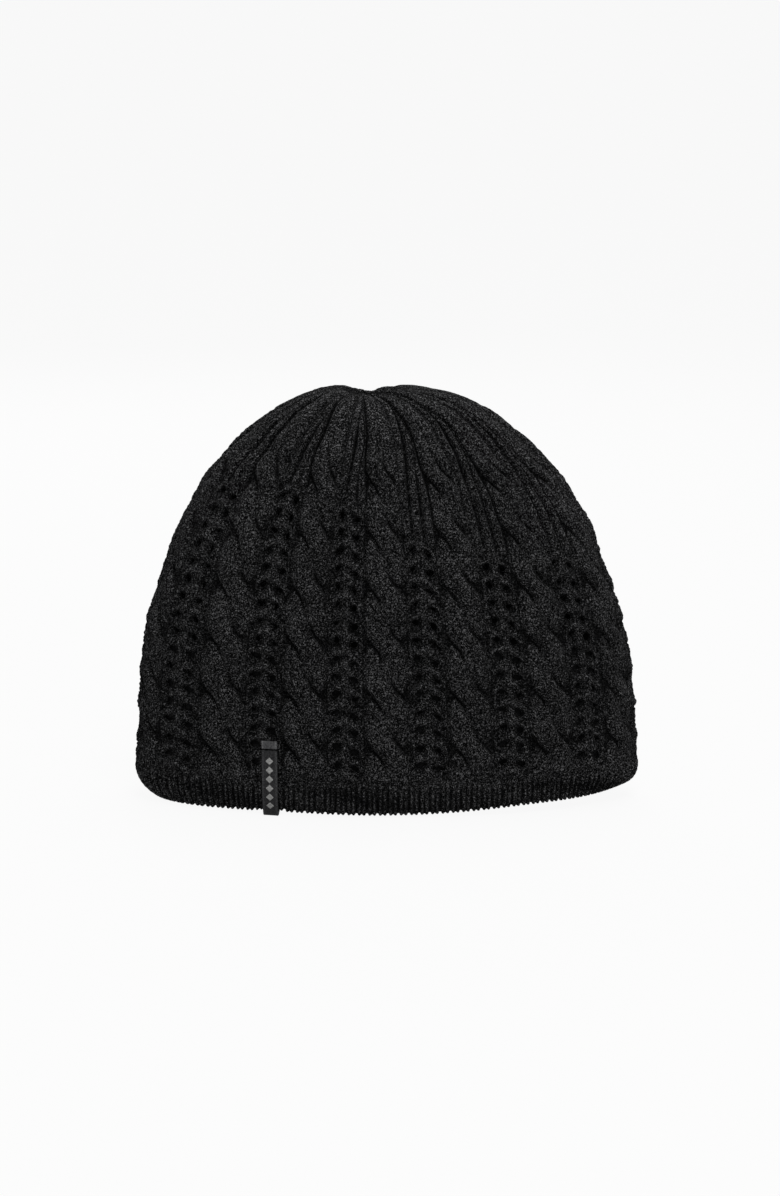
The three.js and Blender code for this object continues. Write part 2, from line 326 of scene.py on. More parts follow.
class Nodes:
    """A material's node tree, with short calls that add and link nodes."""

    def __init__(self, name: str) -> None:
        """Starts a material with an empty tree.

        Args:
            name: the material's name.
        """
        self.material = bpy.data.materials.new(name)
        self.material.use_nodes = True
        self.tree = self.material.node_tree
        self.tree.nodes.clear()

    def add(self, kind: str, **settings: object) -> bpy.types.Node:
        """Adds a node and sets its properties.

        Args:
            kind: the node's type name.
            settings: its properties by name.

        Returns:
            The node.
        """
        node = self.tree.nodes.new(kind)
        for key, value in settings.items():
            setattr(node, key, value)
        return node

    def link(self, source: object, target: object) -> None:
        """Joins an output, or a plain number, to an input."""
        if isinstance(source, (int, float)):
            target.default_value = source
        else:
            self.tree.links.new(source, target)

    def math(self, operation: str, *values: object) -> Socket:
        """Adds a Math node.

        Args:
            operation: its operation.
            values: outputs or numbers for its inputs.

        Returns:
            Its output.
        """
        node = self.add("ShaderNodeMath", operation=operation)
        for value, socket in zip(values, node.inputs):
            self.link(value, socket)
        return node.outputs[0]

    def product(self, first: object, *others: object) -> Socket:
        """Multiplies outputs or numbers together."""
        for other in others:
            first = self.math("MULTIPLY", first, other)
        return first

    def ridges(self, count: object, angle: float) -> Socket:
        """The square of the sine of a count times an angle."""
        return self.math("POWER", self.math("SINE", self.product(count, angle)), 2.0)

    def noise(self, scale: float, detail: float, coordinates: object, roughness: float = 0.5) -> Socket:
        """Adds a Noise texture.

        Args:
            scale: its scale, in repeats a metre on Object coordinates.
            detail: its octaves.
            coordinates: the output that places it.
            roughness: how strong the fine octaves are.

        Returns:
            Its value output.
        """
        node = self.add("ShaderNodeTexNoise")
        settings = (("Scale", scale), ("Detail", detail), ("Roughness", roughness), ("Vector", coordinates))
        for socket, value in settings:
            self.link(value, node.inputs[socket])
        return node.outputs[0]

    def ramp(
        self, value: object, low: float, high: float, to_low: float = 0.0, to_high: float = 1.0
    ) -> Socket:
        """Adds a clamped Map Range node.

        Args:
            value: the output to map.
            low: the value that gives to_low.
            high: the value that gives to_high.
            to_low: the result at low.
            to_high: the result at high.

        Returns:
            Its output.
        """
        node = self.add("ShaderNodeMapRange", interpolation_type="LINEAR")
        self.link(value, node.inputs["Value"])
        for name, number in (("From Min", low), ("From Max", high), ("To Min", to_low), ("To Max", to_high)):
            node.inputs[name].default_value = number
        return node.outputs["Result"]

    def blend_colours(self, factor: object, first: Sequence[float], second: Sequence[float]) -> Socket:
        """Adds a colour Mix node.

        Args:
            factor: 0 for the first colour, 1 for the second.
            first: the first colour, linear.
            second: the second colour, linear.

        Returns:
            Its colour output.
        """
        node = self.add("ShaderNodeMix", data_type="RGBA")
        self.link(factor, node.inputs["Factor"])
        node.inputs["A"].default_value = (*first, 1.0)
        node.inputs["B"].default_value = (*second, 1.0)
        return node.outputs["Result"]

    def place(self) -> Socket:
        """Object coordinates."""
        return self.add("ShaderNodeTexCoord").outputs["Object"]

    def tone(self) -> Socket:
        """The shade painted into the colour at each point, read from the mesh."""
        return self.add("ShaderNodeAttribute", attribute_name=PAINTED_SHADING).outputs["Fac"]

    def stitches(self) -> tuple[Socket, Socket]:
        """The piece's own count of wales and courses, as two outputs."""
        source = self.add("ShaderNodeUVMap", uv_map=STITCH_MAP)
        split = self.add("ShaderNodeSeparateXYZ")
        self.tree.links.new(source.outputs["UV"], split.inputs[0])
        return split.outputs[0], split.outputs[1]

    def surface(
        self,
        colour: object,
        roughness: object,
        height: object,
        depth: float,
        strength: float = 1.0,
        **numbers: object,
    ) -> Material:
        """Adds the Principled shader with its bump, and the output.

        Args:
            colour: the output that holds the base colour.
            roughness: the output that holds the roughness.
            height: the output that holds the bump's height, from 0 to 1.
            depth: what a height of 1 is, in metres.
            strength: the bump's strength.
            numbers: plain values by socket name, with underscores for spaces.

        Returns:
            The finished material.
        """
        relief = self.add("ShaderNodeBump")
        for socket, value in (("Distance", depth), ("Strength", strength), ("Height", height)):
            self.link(value, relief.inputs[socket])
        shader = self.add("ShaderNodeBsdfPrincipled")
        for key, value in numbers.items():
            shader.inputs[key.replace("_", " ")].default_value = value
        for socket, value in (("Base Color", colour), ("Roughness", roughness), ("Normal", relief.outputs[0])):
            self.link(value, shader.inputs[socket])
        self.link(shader.outputs[0], self.add("ShaderNodeOutputMaterial").inputs["Surface"])
        return self.material


@dataclass(frozen=True)
class HeatherYarn:
    """Charcoal heather yarn: near-black fibres with paler ones spun through them."""

    name: str = "heather_yarn"
    dark: tuple[float, float, float] = (0.0007, 0.0007, 0.0008)
    pale: tuple[float, float, float] = (0.165, 0.165, 0.169)
    speckle_scale: float = 1500.0
    sheen: float = 0.018

    def material(self) -> Material:
        """Speckle from two sizes of noise, painted shade in the grooves and round the eyelets from the mesh, and
        plaited stitch legs as bump.

        Returns:
            The material.
        """
        nodes = Nodes(self.name)
        place = nodes.place()
        fine = nodes.noise(self.speckle_scale, 2.0, place, 0.65)
        coarse = nodes.noise(self.speckle_scale * 0.28, 2.0, place)
        broad = nodes.noise(28.0, 2.0, place)
        speckle = nodes.math("POWER", nodes.ramp(fine, 0.43, 0.66), 2.2)
        blotch = nodes.ramp(coarse, 0.3, 0.7, 0.45, 1.3)
        swell = nodes.ramp(broad, 0.3, 0.7, 0.85, 1.12)
        # Painted shade: the mesh's shading factor darkens the yarn's colour in grooves and round eyelets, down to 7
        # percent of the speckle.
        painted_groove_shade = nodes.math("MULTIPLY_ADD", nodes.tone(), 0.93, 0.07)
        mixed = nodes.product(speckle, blotch, nodes.product(swell, painted_groove_shade))
        return nodes.surface(
            nodes.blend_colours(mixed, self.dark, self.pale),
            nodes.ramp(fine, 0.3, 0.7, 0.82, 0.98),
            self.stitch_height(nodes, fine),
            0.45 * MM,
            0.8,
            Sheen_Weight=self.sheen,
            Sheen_Roughness=0.45,
            Sheen_Tint=(0.9, 0.9, 0.92, 1.0),
            Specular_IOR_Level=0.04,
        )

    def stitch_height(self, nodes: Nodes, fuzz: object) -> Socket:
        """Height of the two legs of each stitch, roughened by its fibres.

        Across a wale, x runs from 0 to 1. The legs are ridges at x = 1/4 and 3/4, sin^2(2 pi x). Along it, waves
        shaped like a V, cos(2 pi (course - 0.9 |x - 1/2|)), part one stitch from the next.

        Args:
            nodes: the tree.
            fuzz: a fine noise to roughen with.

        Returns:
            The height, about 0 to 1.
        """
        wale, course = nodes.stitches()
        across = nodes.math("FRACT", wale)
        slant = nodes.product(nodes.math("ABSOLUTE", nodes.math("SUBTRACT", across, 0.5)), 0.9)
        wave = nodes.math("COSINE", nodes.product(nodes.math("SUBTRACT", course, slant), 2 * math.pi))
        height = nodes.math("MULTIPLY_ADD", wave, 0.28, nodes.product(nodes.ridges(across, 2 * math.pi), 0.5))
        return nodes.math("MULTIPLY_ADD", fuzz, 0.55, height)


@dataclass(frozen=True)
class FleecePile:
    """Brushed charcoal fleece, paler than the knit."""

    name: str = "fleece_pile"
    dark: tuple[float, float, float] = (0.002, 0.002, 0.0022)
    pale: tuple[float, float, float] = (0.016, 0.016, 0.017)
    tuft_scale: float = 620.0

    def material(self) -> Material:
        """Soft tufts as colour and bump, with a faint sheen.

        Returns:
            The material.
        """
        nodes = Nodes(self.name)
        place = nodes.place()
        tufts = nodes.noise(self.tuft_scale, 4.0, place, 0.7)
        broad = nodes.noise(70.0, 2.0, place)
        mixed = nodes.product(nodes.ramp(tufts, 0.32, 0.7), nodes.ramp(broad, 0.3, 0.7, 0.7, 1.1))
        return nodes.surface(
            nodes.blend_colours(mixed, self.dark, self.pale),
            nodes.ramp(broad, 0.2, 0.8, 0.9, 1.0),
            tufts,
            0.7 * MM,
            0.7,
            Sheen_Weight=0.04,
            Sheen_Roughness=0.5,
            Specular_IOR_Level=0.1,
        )


@dataclass(frozen=True)
class SewingThread:
    """Spun polyester thread with its plies showing as slanted bands."""

    name: str
    dark: tuple[float, float, float] = (0.006, 0.006, 0.0065)
    pale: tuple[float, float, float] = (0.035, 0.035, 0.037)
    ply_scale: float = 900.0
    gloss: float = 0.35

    def material(self) -> Material:
        """Slanted wave bands for the plies, with a faint gloss.

        Returns:
            The material.
        """
        nodes = Nodes(self.name)
        place = nodes.place()
        wave = nodes.add("ShaderNodeTexWave", bands_direction="DIAGONAL")
        wave.inputs["Scale"].default_value = self.ply_scale
        wave.inputs["Distortion"].default_value = 1.5
        nodes.link(place, wave.inputs["Vector"])
        fuzz = nodes.noise(2200.0, 2.0, place)
        mixed = nodes.product(wave.outputs["Fac"], nodes.ramp(fuzz, 0.3, 0.7, 0.5, 1.1))
        return nodes.surface(
            nodes.blend_colours(mixed, self.dark, self.pale),
            nodes.ramp(fuzz, 0.3, 0.7, 0.5, 0.72),
            wave.outputs["Fac"],
            0.08 * MM,
            Sheen_Weight=0.1 * self.gloss,
            Specular_IOR_Level=self.gloss,
        )


@dataclass(frozen=True)
class WovenTape:
    """Woven tape: fine weft ribs across it and single warp threads along it, counted on its own map."""

    name: str
    dark: tuple[float, float, float]
    pale: tuple[float, float, float]
    roughness: float = 0.62
    sheen: float = 0.02
    gloss: float = 0.12

    def material(self) -> Material:
        """Weft and warp as two squared sines, part in colour and part in bump; the colour also takes the mesh's
        painted shading, a painted highlight along the tab's edges.

        Returns:
            The material.
        """
        nodes = Nodes(self.name)
        across, along = nodes.stitches()
        weft = nodes.product(nodes.ridges(along, math.pi), 0.65)
        weave = nodes.math("MULTIPLY_ADD", nodes.ridges(across, math.pi), 0.35, weft)
        spots = nodes.noise(1500.0, 2.0, nodes.place())
        # The mesh's painted shading: on the tab, the middle of the tape is painted darker than its edges.
        mixed = nodes.product(weave, nodes.tone(), nodes.ramp(spots, 0.36, 0.64, 0.45, 1.3))
        return nodes.surface(
            nodes.blend_colours(mixed, self.dark, self.pale),
            nodes.ramp(spots, 0.3, 0.7, self.roughness - 0.08, self.roughness + 0.1),
            weave,
            0.07 * MM,
            Sheen_Weight=self.sheen,
            Specular_IOR_Level=self.gloss,
        )


# --------------------------------------------------------------------------------------------------
# The hat's form and its knit


@dataclass(frozen=True)
class Form:
    """The hat's smooth outer surface: an oval dome that leans a little and is drawn in at the hem.

    Places on it are given as turn, the share of the way round from the front towards +X, and course, the count of
    stitch rows up from the hem. Below the widest level, the oval is drawn in by the fourth power of the distance.
    Above it, both half-widths follow powers of cosine and the level a power of sine, with a shallow dip at the top.
    """

    half_width: float = 120.0 * MM
    half_depth: float = 50.0 * MM
    height: float = 201.0 * MM
    widest_at: float = 30.0 * MM
    hem_draw_width: float = 0.10
    hem_draw_depth: float = 0.14
    hem_curve: float = 4.0
    side_power: float = 2.3
    top_power: float = 2.1
    depth_power: float = 2.8
    dimple_depth: float = 2.5 * MM
    dimple_radius: float = 14.0 * MM
    lean: float = -3.3 * MM
    gather_shift: float = -7.5 * MM
    gather_shift_power: float = 24.0
    course_length: float = 2.125 * MM
    samples: int = 6000
    low_samples: int = 400
    even_samples: int = 4000
    slump_right: float = 4.4 * MM
    slump_courses: float = 9.0
    side_fullness: float = 2.0 * MM
    hem_fullness: float = 2.4 * MM
    shoulder: float = 2.0 * MM
    notch_depth: float = 2.6 * MM
    notch_x: float = -9.0 * MM
    notch_width: float = 9.0 * MM
    knoll_height: float = 1.3 * MM
    knoll_x: float = 30.0 * MM
    knoll_width: float = 12.0 * MM
    cheek: float = 1.5 * MM

    @cached_property
    def meridian(self) -> tuple[Array, Array, Array, Array]:
        """Half-width, half-depth and level against length along the front line, at even steps.

        Returns:
            The lengths, half-widths, half-depths and levels.
        """
        low = np.linspace(0.0, self.widest_at, self.low_samples, endpoint=False)
        drawn = (1.0 - low / self.widest_at) ** self.hem_curve
        turn = 0.5 * math.pi * np.sin(np.linspace(0.0, 0.5 * math.pi, self.samples))
        cosine, sine = np.maximum(np.cos(turn), 0.0), np.sin(turn)
        wide, deep = (
            half * np.concatenate([1 - draw * drawn, cosine ** (2 / power)])
            for half, draw, power in (
                (self.half_width, self.hem_draw_width, self.side_power),
                (self.half_depth, self.hem_draw_depth, self.depth_power),
            )
        )
        rise = self.widest_at + (self.height - self.widest_at) * sine ** (2 / self.top_power)
        rise = rise - self.dimple_depth * bump(0.0, self.dimple_radius, wide[self.low_samples :])
        level = np.concatenate([low, rise])
        length = np.concatenate([[0.0], np.cumsum(np.hypot(np.diff(deep), np.diff(level)))])
        even = np.linspace(0.0, length[-1], self.even_samples)
        half_width, half_depth, rise = (np.interp(even, length, table) for table in (wide, deep, level))
        return even, half_width, half_depth, rise

    @cached_property
    def round_the_oval(self) -> tuple[Array, Array]:
        """Share of the way round the widest oval against angle, from the front line.

        Returns:
            The shares and the angles.
        """
        angle = np.linspace(-0.5 * math.pi, 1.5 * math.pi, 4001)
        step = np.hypot(np.diff(self.half_width * np.cos(angle)), np.diff(self.half_depth * np.sin(angle)))
        share = np.concatenate([[0.0], np.cumsum(step)])
        return share / share[-1], angle

    def angle(self, turn: Array) -> Array:
        """Angle about the hat's axis for a share of the way round."""
        share, angle = self.round_the_oval
        return np.interp(np.mod(turn, 1.0), share, angle)

    def turn_for_x(self, x: Array) -> Array:
        """Share of the way round where the front of the widest oval has this X, below zero to the left."""
        share, angle = self.round_the_oval
        return np.sign(x) * np.interp(np.arcsin(np.abs(x) / self.half_width) - 0.5 * math.pi, angle, share)

    def course_at(self, level: float) -> float:
        """Count of courses up to a level below the top."""
        even, _, _, levels = self.meridian
        peak = int(np.argmax(levels))
        return float(np.interp(level, levels[:peak], even[:peak]) / self.course_length)

    def place(self, turn: Array, course: Array, lift: Array | float = 0.0) -> Array:
        """Points on the surface, or above or below it.

        Where the hem is drawn in, the wales keep their X over the front and back and close up at the two ends: the
        cosine of the angle is stretched by the drawing-in, less its own fourth power.

        Args:
            turn: share of the way round.
            course: count of courses up from the hem.
            lift: distance outwards along the surface's own normal, in metres.

        Returns:
            The points, with the last axis X, Y, Z.
        """
        turn, course = np.broadcast_arrays(np.asarray(turn, float), np.asarray(course, float))
        even, wide, deep, level = self.meridian
        along = np.clip(course * self.course_length, 0.0, even[-1])
        angle = self.angle(turn)
        a, b, z = (np.interp(along, even, table) for table in (wide, deep, level))
        da, db, dz = (np.interp(along, even, np.gradient(table, even)) for table in (wide, deep, level))
        cosine = np.cos(angle)
        below = course * self.course_length < self.widest_at
        drawn = self.half_width / np.maximum(a, self.half_width * (1 - self.hem_draw_width))
        cosine = np.where(below, np.clip(cosine * (drawn + (1 - drawn) * cosine**4), -1.0, 1.0), cosine)
        sine = np.sign(np.sin(angle)) * np.sqrt(1.0 - cosine**2)
        upwards = -(b * cosine * da * cosine + a * sine * db * sine)
        normal = np.stack([b * cosine * dz, a * sine * dz, upwards], axis=-1)
        normal /= np.linalg.norm(normal, axis=-1, keepdims=True) + 1e-12
        points = np.stack([a * cosine, b * sine, z], axis=-1) + normal * np.asarray(lift)[..., None]
        sideways = normal[..., :2] / (np.linalg.norm(normal[..., :2], axis=-1, keepdims=True) + 1e-9)
        points[..., :2] += sideways * self.fullness(turn, course)[..., None]
        return self.settle(points, angle, course)

    def fullness(self, turn: Array, course: Array) -> Array:
        """How far the knit stands out level at the left and right ends, and at a shoulder high on the right.

        The ends are where the eighth power of sin(2 pi turn) is near 1.

        Args:
            turn: share of the way round.
            course: count of courses.

        Returns:
            The distance in metres.
        """
        side = np.sin(2 * math.pi * turn)
        ends = self.side_fullness * smoothstep(54.0, 38.0, course)
        ends = ends + self.hem_fullness * smoothstep(22.0, 2.0, course)
        shoulder = self.shoulder * bump(95.0, 6.0, course) * smoothstep(0.1, 0.9, side)
        cheek = self.cheek * bump(84.0, 8.0, course) * side**2
        return ends * side**8 * (0.85 - 0.15 * np.sign(side)) + shoulder - cheek

    def settle(self, points: Array, angle: Array, course: Array) -> Array:
        """Leans the dome, lets the hem ride up a little at the right, and shapes the top.

        A notch crosses the top at the gather, and a low knoll stands to the right of it.

        Args:
            points: points of the upright dome.
            angle: their angles about the axis.
            course: their courses.

        Returns:
            The moved points.
        """
        t = np.clip((points[..., 2] - self.widest_at) / (self.height - self.widest_at), 0.0, 1.0)
        shift = self.lean * t + self.gather_shift * t**self.gather_shift_power
        front = smoothstep(0.35, -0.35, np.sin(angle))
        right = smoothstep(0.08, 0.9, np.cos(angle)) * (0.55 + 0.45 * front)
        fade = np.exp(-np.maximum(course, 0.0) / self.slump_courses)
        rise = self.slump_right * right * fade
        x = points[..., 0] + shift
        notch = self.notch_depth * bump(self.notch_x, self.notch_width, x) * smoothstep(90.0, 99.0, course)
        knoll = self.knoll_height * bump(self.knoll_x, self.knoll_width, x) * smoothstep(84.0, 94.0, course)
        return points + np.stack([shift, np.zeros_like(shift), rise + knoll - notch], axis=-1)


class Zone(Enum):
    """What a stretch of wales within one repeat is knitted as."""

    LACE = (0.0, 8.0)
    CABLE = (9.0, 17.0)

    @property
    def first(self) -> float:
        """First wale of the stretch."""
        return self.value[0]

    @property
    def last(self) -> float:
        """Last wale of the stretch."""
        return self.value[1]


@dataclass(frozen=True)
class KnitPattern:
    """The stitch pattern: fourteen repeats of a lace panel, a purl wale, a four-and-four cable and a purl wale.

    Wales are counted so that the front line is the middle of a cable. Lifts are in metres from the smooth form.
    Each of dropped_wales, counted within a repeat, is knitted away at its course in dropped_courses.
    """

    repeats: int = 14
    wales: int = 18
    front_wale: float = 13.0
    first_course: float = 9.5
    hem_ribs: int = 8
    rib_wales: float = 2.5
    wall: float = 4.0 * MM
    purl_lift: float = -2.9 * MM
    lace_lift: float = -2.15 * MM
    strand_low: float = 1.6 * MM
    strand_rise: float = 1.9 * MM
    crease_depth: float = 2.0 * MM
    border_fill: float = 0.75 * MM
    seam_ease: float = 2.5
    left_pull: float = 3.0
    left_end: float = -50.0
    back_lace: tuple[float, float] = (80.0, 198.0)
    back_lace_delay: float = 2.0
    back_lace_top: float = 60.0
    cable_period: float = 12.0
    cable_first: float = 11.0
    cable_last: float = 83.0
    eyelet_period: float = 4.0
    crown_lift: float = 0.5 * MM
    top_lift: float = 1.0 * MM
    stitch_spread: float = 0.20 * MM
    stitch_relief: float = 0.30 * MM
    seed: int = 7
    dropped_wales: tuple[int, ...] = (5, 6, 7, 2, 3, 4, 12, 13, 9, 16)
    dropped_courses: tuple[float, ...] = (76.0, 79.0, 82.0, 88.0, 91.0, 91.0, 80.0, 84.0, 88.0, 92.0)
    table_top: float = 110.0
    table_steps: int = 4

    @property
    def around(self) -> int:
        """Wales in the whole round."""
        return self.repeats * self.wales

    @cached_property
    def wale_edges(self) -> Array:
        """Places of the wales' edges in a repeat at each tabled course, the dropped wales narrowed away."""
        dropped_at = np.full(self.wales, 4.0 * self.table_top)
        dropped_at[list(self.dropped_wales)] = self.dropped_courses
        levels = np.arange(0.0, self.table_top, 1.0 / self.table_steps)[:, None]
        width = 1.0 - 0.92 * smoothstep(dropped_at - 4.0, dropped_at + 4.0, levels)
        edges = np.concatenate([0.0 * levels, np.cumsum(width, axis=1)], axis=1)
        return edges * (self.wales / edges[:, -1:])

    def turn(self, wale: Array, course: Array) -> Array:
        """Share of the way round for a wale, with the wales drawn together where the crown drops some.

        Each wale's width fades out at the course where it is knitted together with its neighbour, and the wales
        that are left share the repeat's width. Over the back, the wales stand seam_ease further from the seam
        than they would evenly, so the plain strip along it is wide and the eyelets lie between those in front. Just
        before the left end, at the front and the back, they are pulled towards it by up to left_pull.

        Args:
            wale: count of wales.
            course: count of courses.

        Returns:
            The shares, with the front line at 0.
        """
        repeat = np.floor(wale / self.wales)
        inside = wale - repeat * self.wales
        edges = self.wale_edges
        row = np.clip(course, 0.0, self.table_top - 0.5) * self.table_steps
        low = np.floor(row).astype(int)
        part = row - low
        cell = np.clip(np.floor(inside).astype(int), 0, self.wales - 1)
        within = inside - cell

        def at(level: Array) -> Array:
            """Place within the repeat on one tabled level."""
            return edges[level, cell] * (1 - within) + edges[level, cell + 1] * within

        moved = at(low) * (1 - part) + at(low + 1) * part
        ahead = repeat * self.wales + moved - self.front_wale
        half = 0.5 * self.around
        turned = np.mod(ahead + half, self.around) - half
        from_seam = half - np.abs(turned)
        eased = self.seam_ease * smoothstep(0.0, 7.0, from_seam) * smoothstep(76.0, 44.0, from_seam)
        pulled = self.left_pull * (bump(self.left_end, 9.0, turned) - bump(-half - self.left_end, 9.0, turned))
        return (ahead - np.sign(turned) * eased - pulled) / self.around

    def lace_top(self, wale: Array) -> Array:
        """Course where the lace gives way to plain ribs: lower on the right of the hat than on the left."""
        angle = 2 * math.pi * (wale - self.front_wale) / self.around
        return np.where(self.at_back(wale), self.back_lace_top, 67.0 - 8.0 * np.tanh(3.0 * np.sin(angle)))

    def at_back(self, wale: Array) -> Array:
        """Whether a wale is over the back, where the lace starts later and ends sooner."""
        return (wale > self.back_lace[0]) & (wale < self.back_lace[1])

    def eyelets(self, first: float, last: float) -> list[tuple[float, float, float]]:
        """Wale, course and radius in stitches of every eyelet between two wales.

        Args:
            first: the first wale.
            last: the last wale.

        Returns:
            One row for each eyelet.
        """
        chance = np.random.default_rng(self.seed + int(first))
        found = []
        for repeat in range(math.floor(first / self.wales), math.ceil(last / self.wales) + 1):
            for inside, start in ((6.0, 12.5), (2.0, 13.5)):
                wale = repeat * self.wales + inside
                if not first + 1.5 < wale < last - 1.5:
                    continue
                at_back = self.at_back(wale)
                start = start + self.back_lace_delay * at_back
                for course in np.arange(start, float(self.lace_top(np.array(wale))), self.eyelet_period):
                    found.append((wale, float(course), 0.42 - 0.04 * at_back + 0.44 * chance.random()))
        return found

    def strands(self, inside: Array, course: Array) -> tuple[Array, Array]:
        """Height and sideways count of the two cable strands.

        Strand s has its middle at 13 + 2 tanh(1.4 cos f) / tanh(1.4) wales with f = 2 pi (course - 11) / 24 + s pi,
        and its crown stands strand_low + strand_rise (1 + sin f) / 2 above the ground. Its section is a half-round
        of 2.45 + 0.55 sin^2 f wales on each side, so the cable keeps most of its width where the strands cross, and
        the strand on top presses the other down along its own edge.

        Args:
            inside: wale within the repeat.
            course: count of courses.

        Returns:
            The height over the ground, and the wale count carried along with the strand.
        """
        row = np.minimum(course, self.cable_last)
        found = []
        for strand in (0, 1):
            phase = math.pi * (row - self.cable_first) / self.cable_period + strand * math.pi
            middle = 13.0 + 2.0 * np.tanh(1.4 * np.cos(phase)) / math.tanh(1.4)
            across = np.abs(inside - middle) / (2.45 + 0.55 * np.sin(phase) ** 2)
            crown = self.strand_low + self.strand_rise * (0.5 + 0.5 * np.sin(phase))
            height = crown * (0.2 + 0.8 * np.sqrt(np.clip(1.0 - across**2, 0.0, 1.0))) * (across < 1.0)
            found.append((height, across, inside - middle + 40.0, np.sin(phase)))
        first_on_top = found[0][3] > 0.0
        (top, edge, top_count, rise), (under, _, under_count, _) = (
            tuple(np.where(first_on_top, a, b) for a, b in zip(found[k], found[1 - k])) for k in (0, 1)
        )
        pressed = self.crease_depth * bump(1.0, 0.24, edge) * (edge >= 1.0) * smoothstep(0.15, 0.8, rise)
        under = np.maximum(under - pressed, 0.0)
        best = np.where(top >= under, top, under)
        count = np.where(top >= under, top_count, under_count)
        count = np.where(best > 0.0, count, inside)
        return best, count

    def relief(self, wale: Array, course: Array, fineness: Array | float = 1.0) -> tuple[Array, Array]:
        """Outward lift of the knit's outer face.

        Args:
            wale: count of wales.
            course: count of courses.
            fineness: how full the relief is, less where the wales are drawn together.

        Returns:
            The lift in metres, and the wale count that the stitches follow.
        """
        wale, course = np.broadcast_arrays(wale, course)
        repeat = np.floor(wale / self.wales)
        inside = wale - repeat * self.wales
        plain_top = smoothstep(0.0, 3.0, course - self.lace_top(wale))
        height, count = self.strands(inside, course)
        in_cable = (inside >= Zone.CABLE.first - 0.5) & (inside <= Zone.CABLE.last + 0.5)
        lace_first, lace_last = Zone.LACE.first, Zone.LACE.last
        in_lace = smoothstep(lace_first - 0.3, lace_first + 0.4, inside)
        in_lace = in_lace * smoothstep(lace_last + 0.5, lace_last - 0.2, inside)
        lace = self.lace_height(inside, course - self.back_lace_delay * self.at_back(wale))
        lace = lace * (1.0 - 0.75 * self.side(wale))
        ribs = self.crown_rib_height(inside)
        lace = (self.lace_lift - self.purl_lift + lace) * (1 - plain_top) + ribs * plain_top
        from_seam = np.mod(wale - self.front_wale, self.around) - 0.5 * self.around
        selvedge = bump(0.0, 0.6, from_seam)
        near_seam = np.abs(from_seam) < 4.6
        plain = 1.6 * MM * (1.0 - bump(0.0, 1.1, from_seam))
        height = np.where(near_seam, plain, height)
        count = np.where(near_seam, inside, count)
        border = np.minimum(np.abs(inside - 17.6), np.abs(inside + 0.4))
        crossing = 0.5 - 0.5 * np.cos(2 * math.pi * (course - self.cable_first) / self.cable_period)
        filled = self.border_fill * (1.9 - 1.7 * crossing * (1 - plain_top)) * bump(0.0, 0.8, border)
        beside = self.border_fill * (1.1 - 1.1 * crossing) * (1 - plain_top) * bump(8.5, 0.9, inside)
        filled = np.maximum(filled, beside)
        height = height * (1.0 - 0.35 * self.side(wale))
        ground = np.maximum(np.where(in_cable, height, lace * in_lace), filled)
        lift = self.base_lift(course) + ground * fineness - 0.5 * MM * selvedge
        knitted = in_cable & (height > 0.1 * MM) | ~in_cable & (in_lace > 0.3)
        lumpy = np.where(in_cable, 1.0, 2.8)
        stitches = self.stitch_height(count, course) * np.where(in_cable, 1.0, 1.5)
        stitches = stitches + self.stitch_spread * lumpy * self.stray(count, course, repeat)
        bars = 0.14 * MM * np.cos(2 * math.pi * course)
        lift = lift + np.where(knitted, stitches, bars) * np.minimum(fineness, 1.0)
        to_body = smoothstep(self.first_course - 2.0, self.first_course + 1.2, course)
        hem, hem_count = self.hem_height(wale, course)
        lift = hem * (1 - to_body) + lift * to_body
        count = np.where(course < self.first_course - 0.4, hem_count, count)
        return lift + self.unevenness(wale, course), count

    def side(self, wale: Array) -> Array:
        """How near a wale is to the hat's left or right end: 0 at the front and back, 1 at an end."""
        return np.sin(2 * math.pi * (wale - self.front_wale) / self.around) ** 8

    def base_lift(self, course: Array) -> Array:
        """Lift of the purl grooves' floor, which rises a little towards the gather."""
        crown = self.crown_lift * smoothstep(66.0, 90.0, course)
        return self.purl_lift + (crown + self.top_lift * smoothstep(92.0, 100.0, course))

    def tone(self, wale: Array, course: Array, lift: Array, fineness: Array | float = 1.0) -> Array:
        """Shade painted into the knit's colour: 0, darkest, near a purl groove's floor, 1, unshaded, at 1 mm over
        it, 2 mm at the crown.

        Args:
            wale: count of wales.
            course: count of courses.
            lift: the outer face's lift.
            fineness: how full the relief is.

        Returns:
            The painted shading from 0, darkest, to 1, unshaded.
        """
        base = self.base_lift(course) + self.unevenness(wale, course)
        crown = smoothstep(70.0, 92.0, course)
        height = (lift - base) / np.maximum(fineness, 0.4)
        return smoothstep((0.62 * crown - 0.3) * MM, (1.1 + 1.0 * crown) * MM, height)

    def stitch_height(self, count: Array, course: Array) -> Array:
        """Domed wales crossed by V-shaped waves.

        A wale is a dome, (1 - cos 2 pi x) / 2, and its stitches are waves cos 2 pi (course - 0.9 |x - 1/2|).

        Args:
            count: wale count.
            course: count of courses.

        Returns:
            The height in metres.
        """
        x = np.mod(count, 1.0)
        dome = 0.5 - 0.5 * np.cos(2 * math.pi * x)
        wave = np.cos(2 * math.pi * (course - 0.9 * np.abs(x - 0.5)))
        return self.stitch_relief * (dome - 0.6 + 0.45 * wave * dome)

    def stray(self, count: Array, course: Array, repeat: Array) -> Array:
        """Every stitch a little higher or lower than its neighbours, by a fixed hash of its wale and course.

        The hash is the fractional part of a large multiple of a sine, spread over the stitch as a bell.

        Args:
            count: wale count that the stitches follow.
            course: count of courses.
            repeat: number of the repeat.

        Returns:
            Values between -1 and 1.
        """
        row, column = np.floor(course), np.floor(count)
        mixed = np.sin(row * 12.9898 + (column + 31.0 * repeat) * 78.233 + self.seed) * 43758.5453
        spread = np.sin(math.pi * (course - row)) * np.sin(math.pi * (count - column))
        return (2.0 * (mixed - np.floor(mixed)) - 1.0) * spread

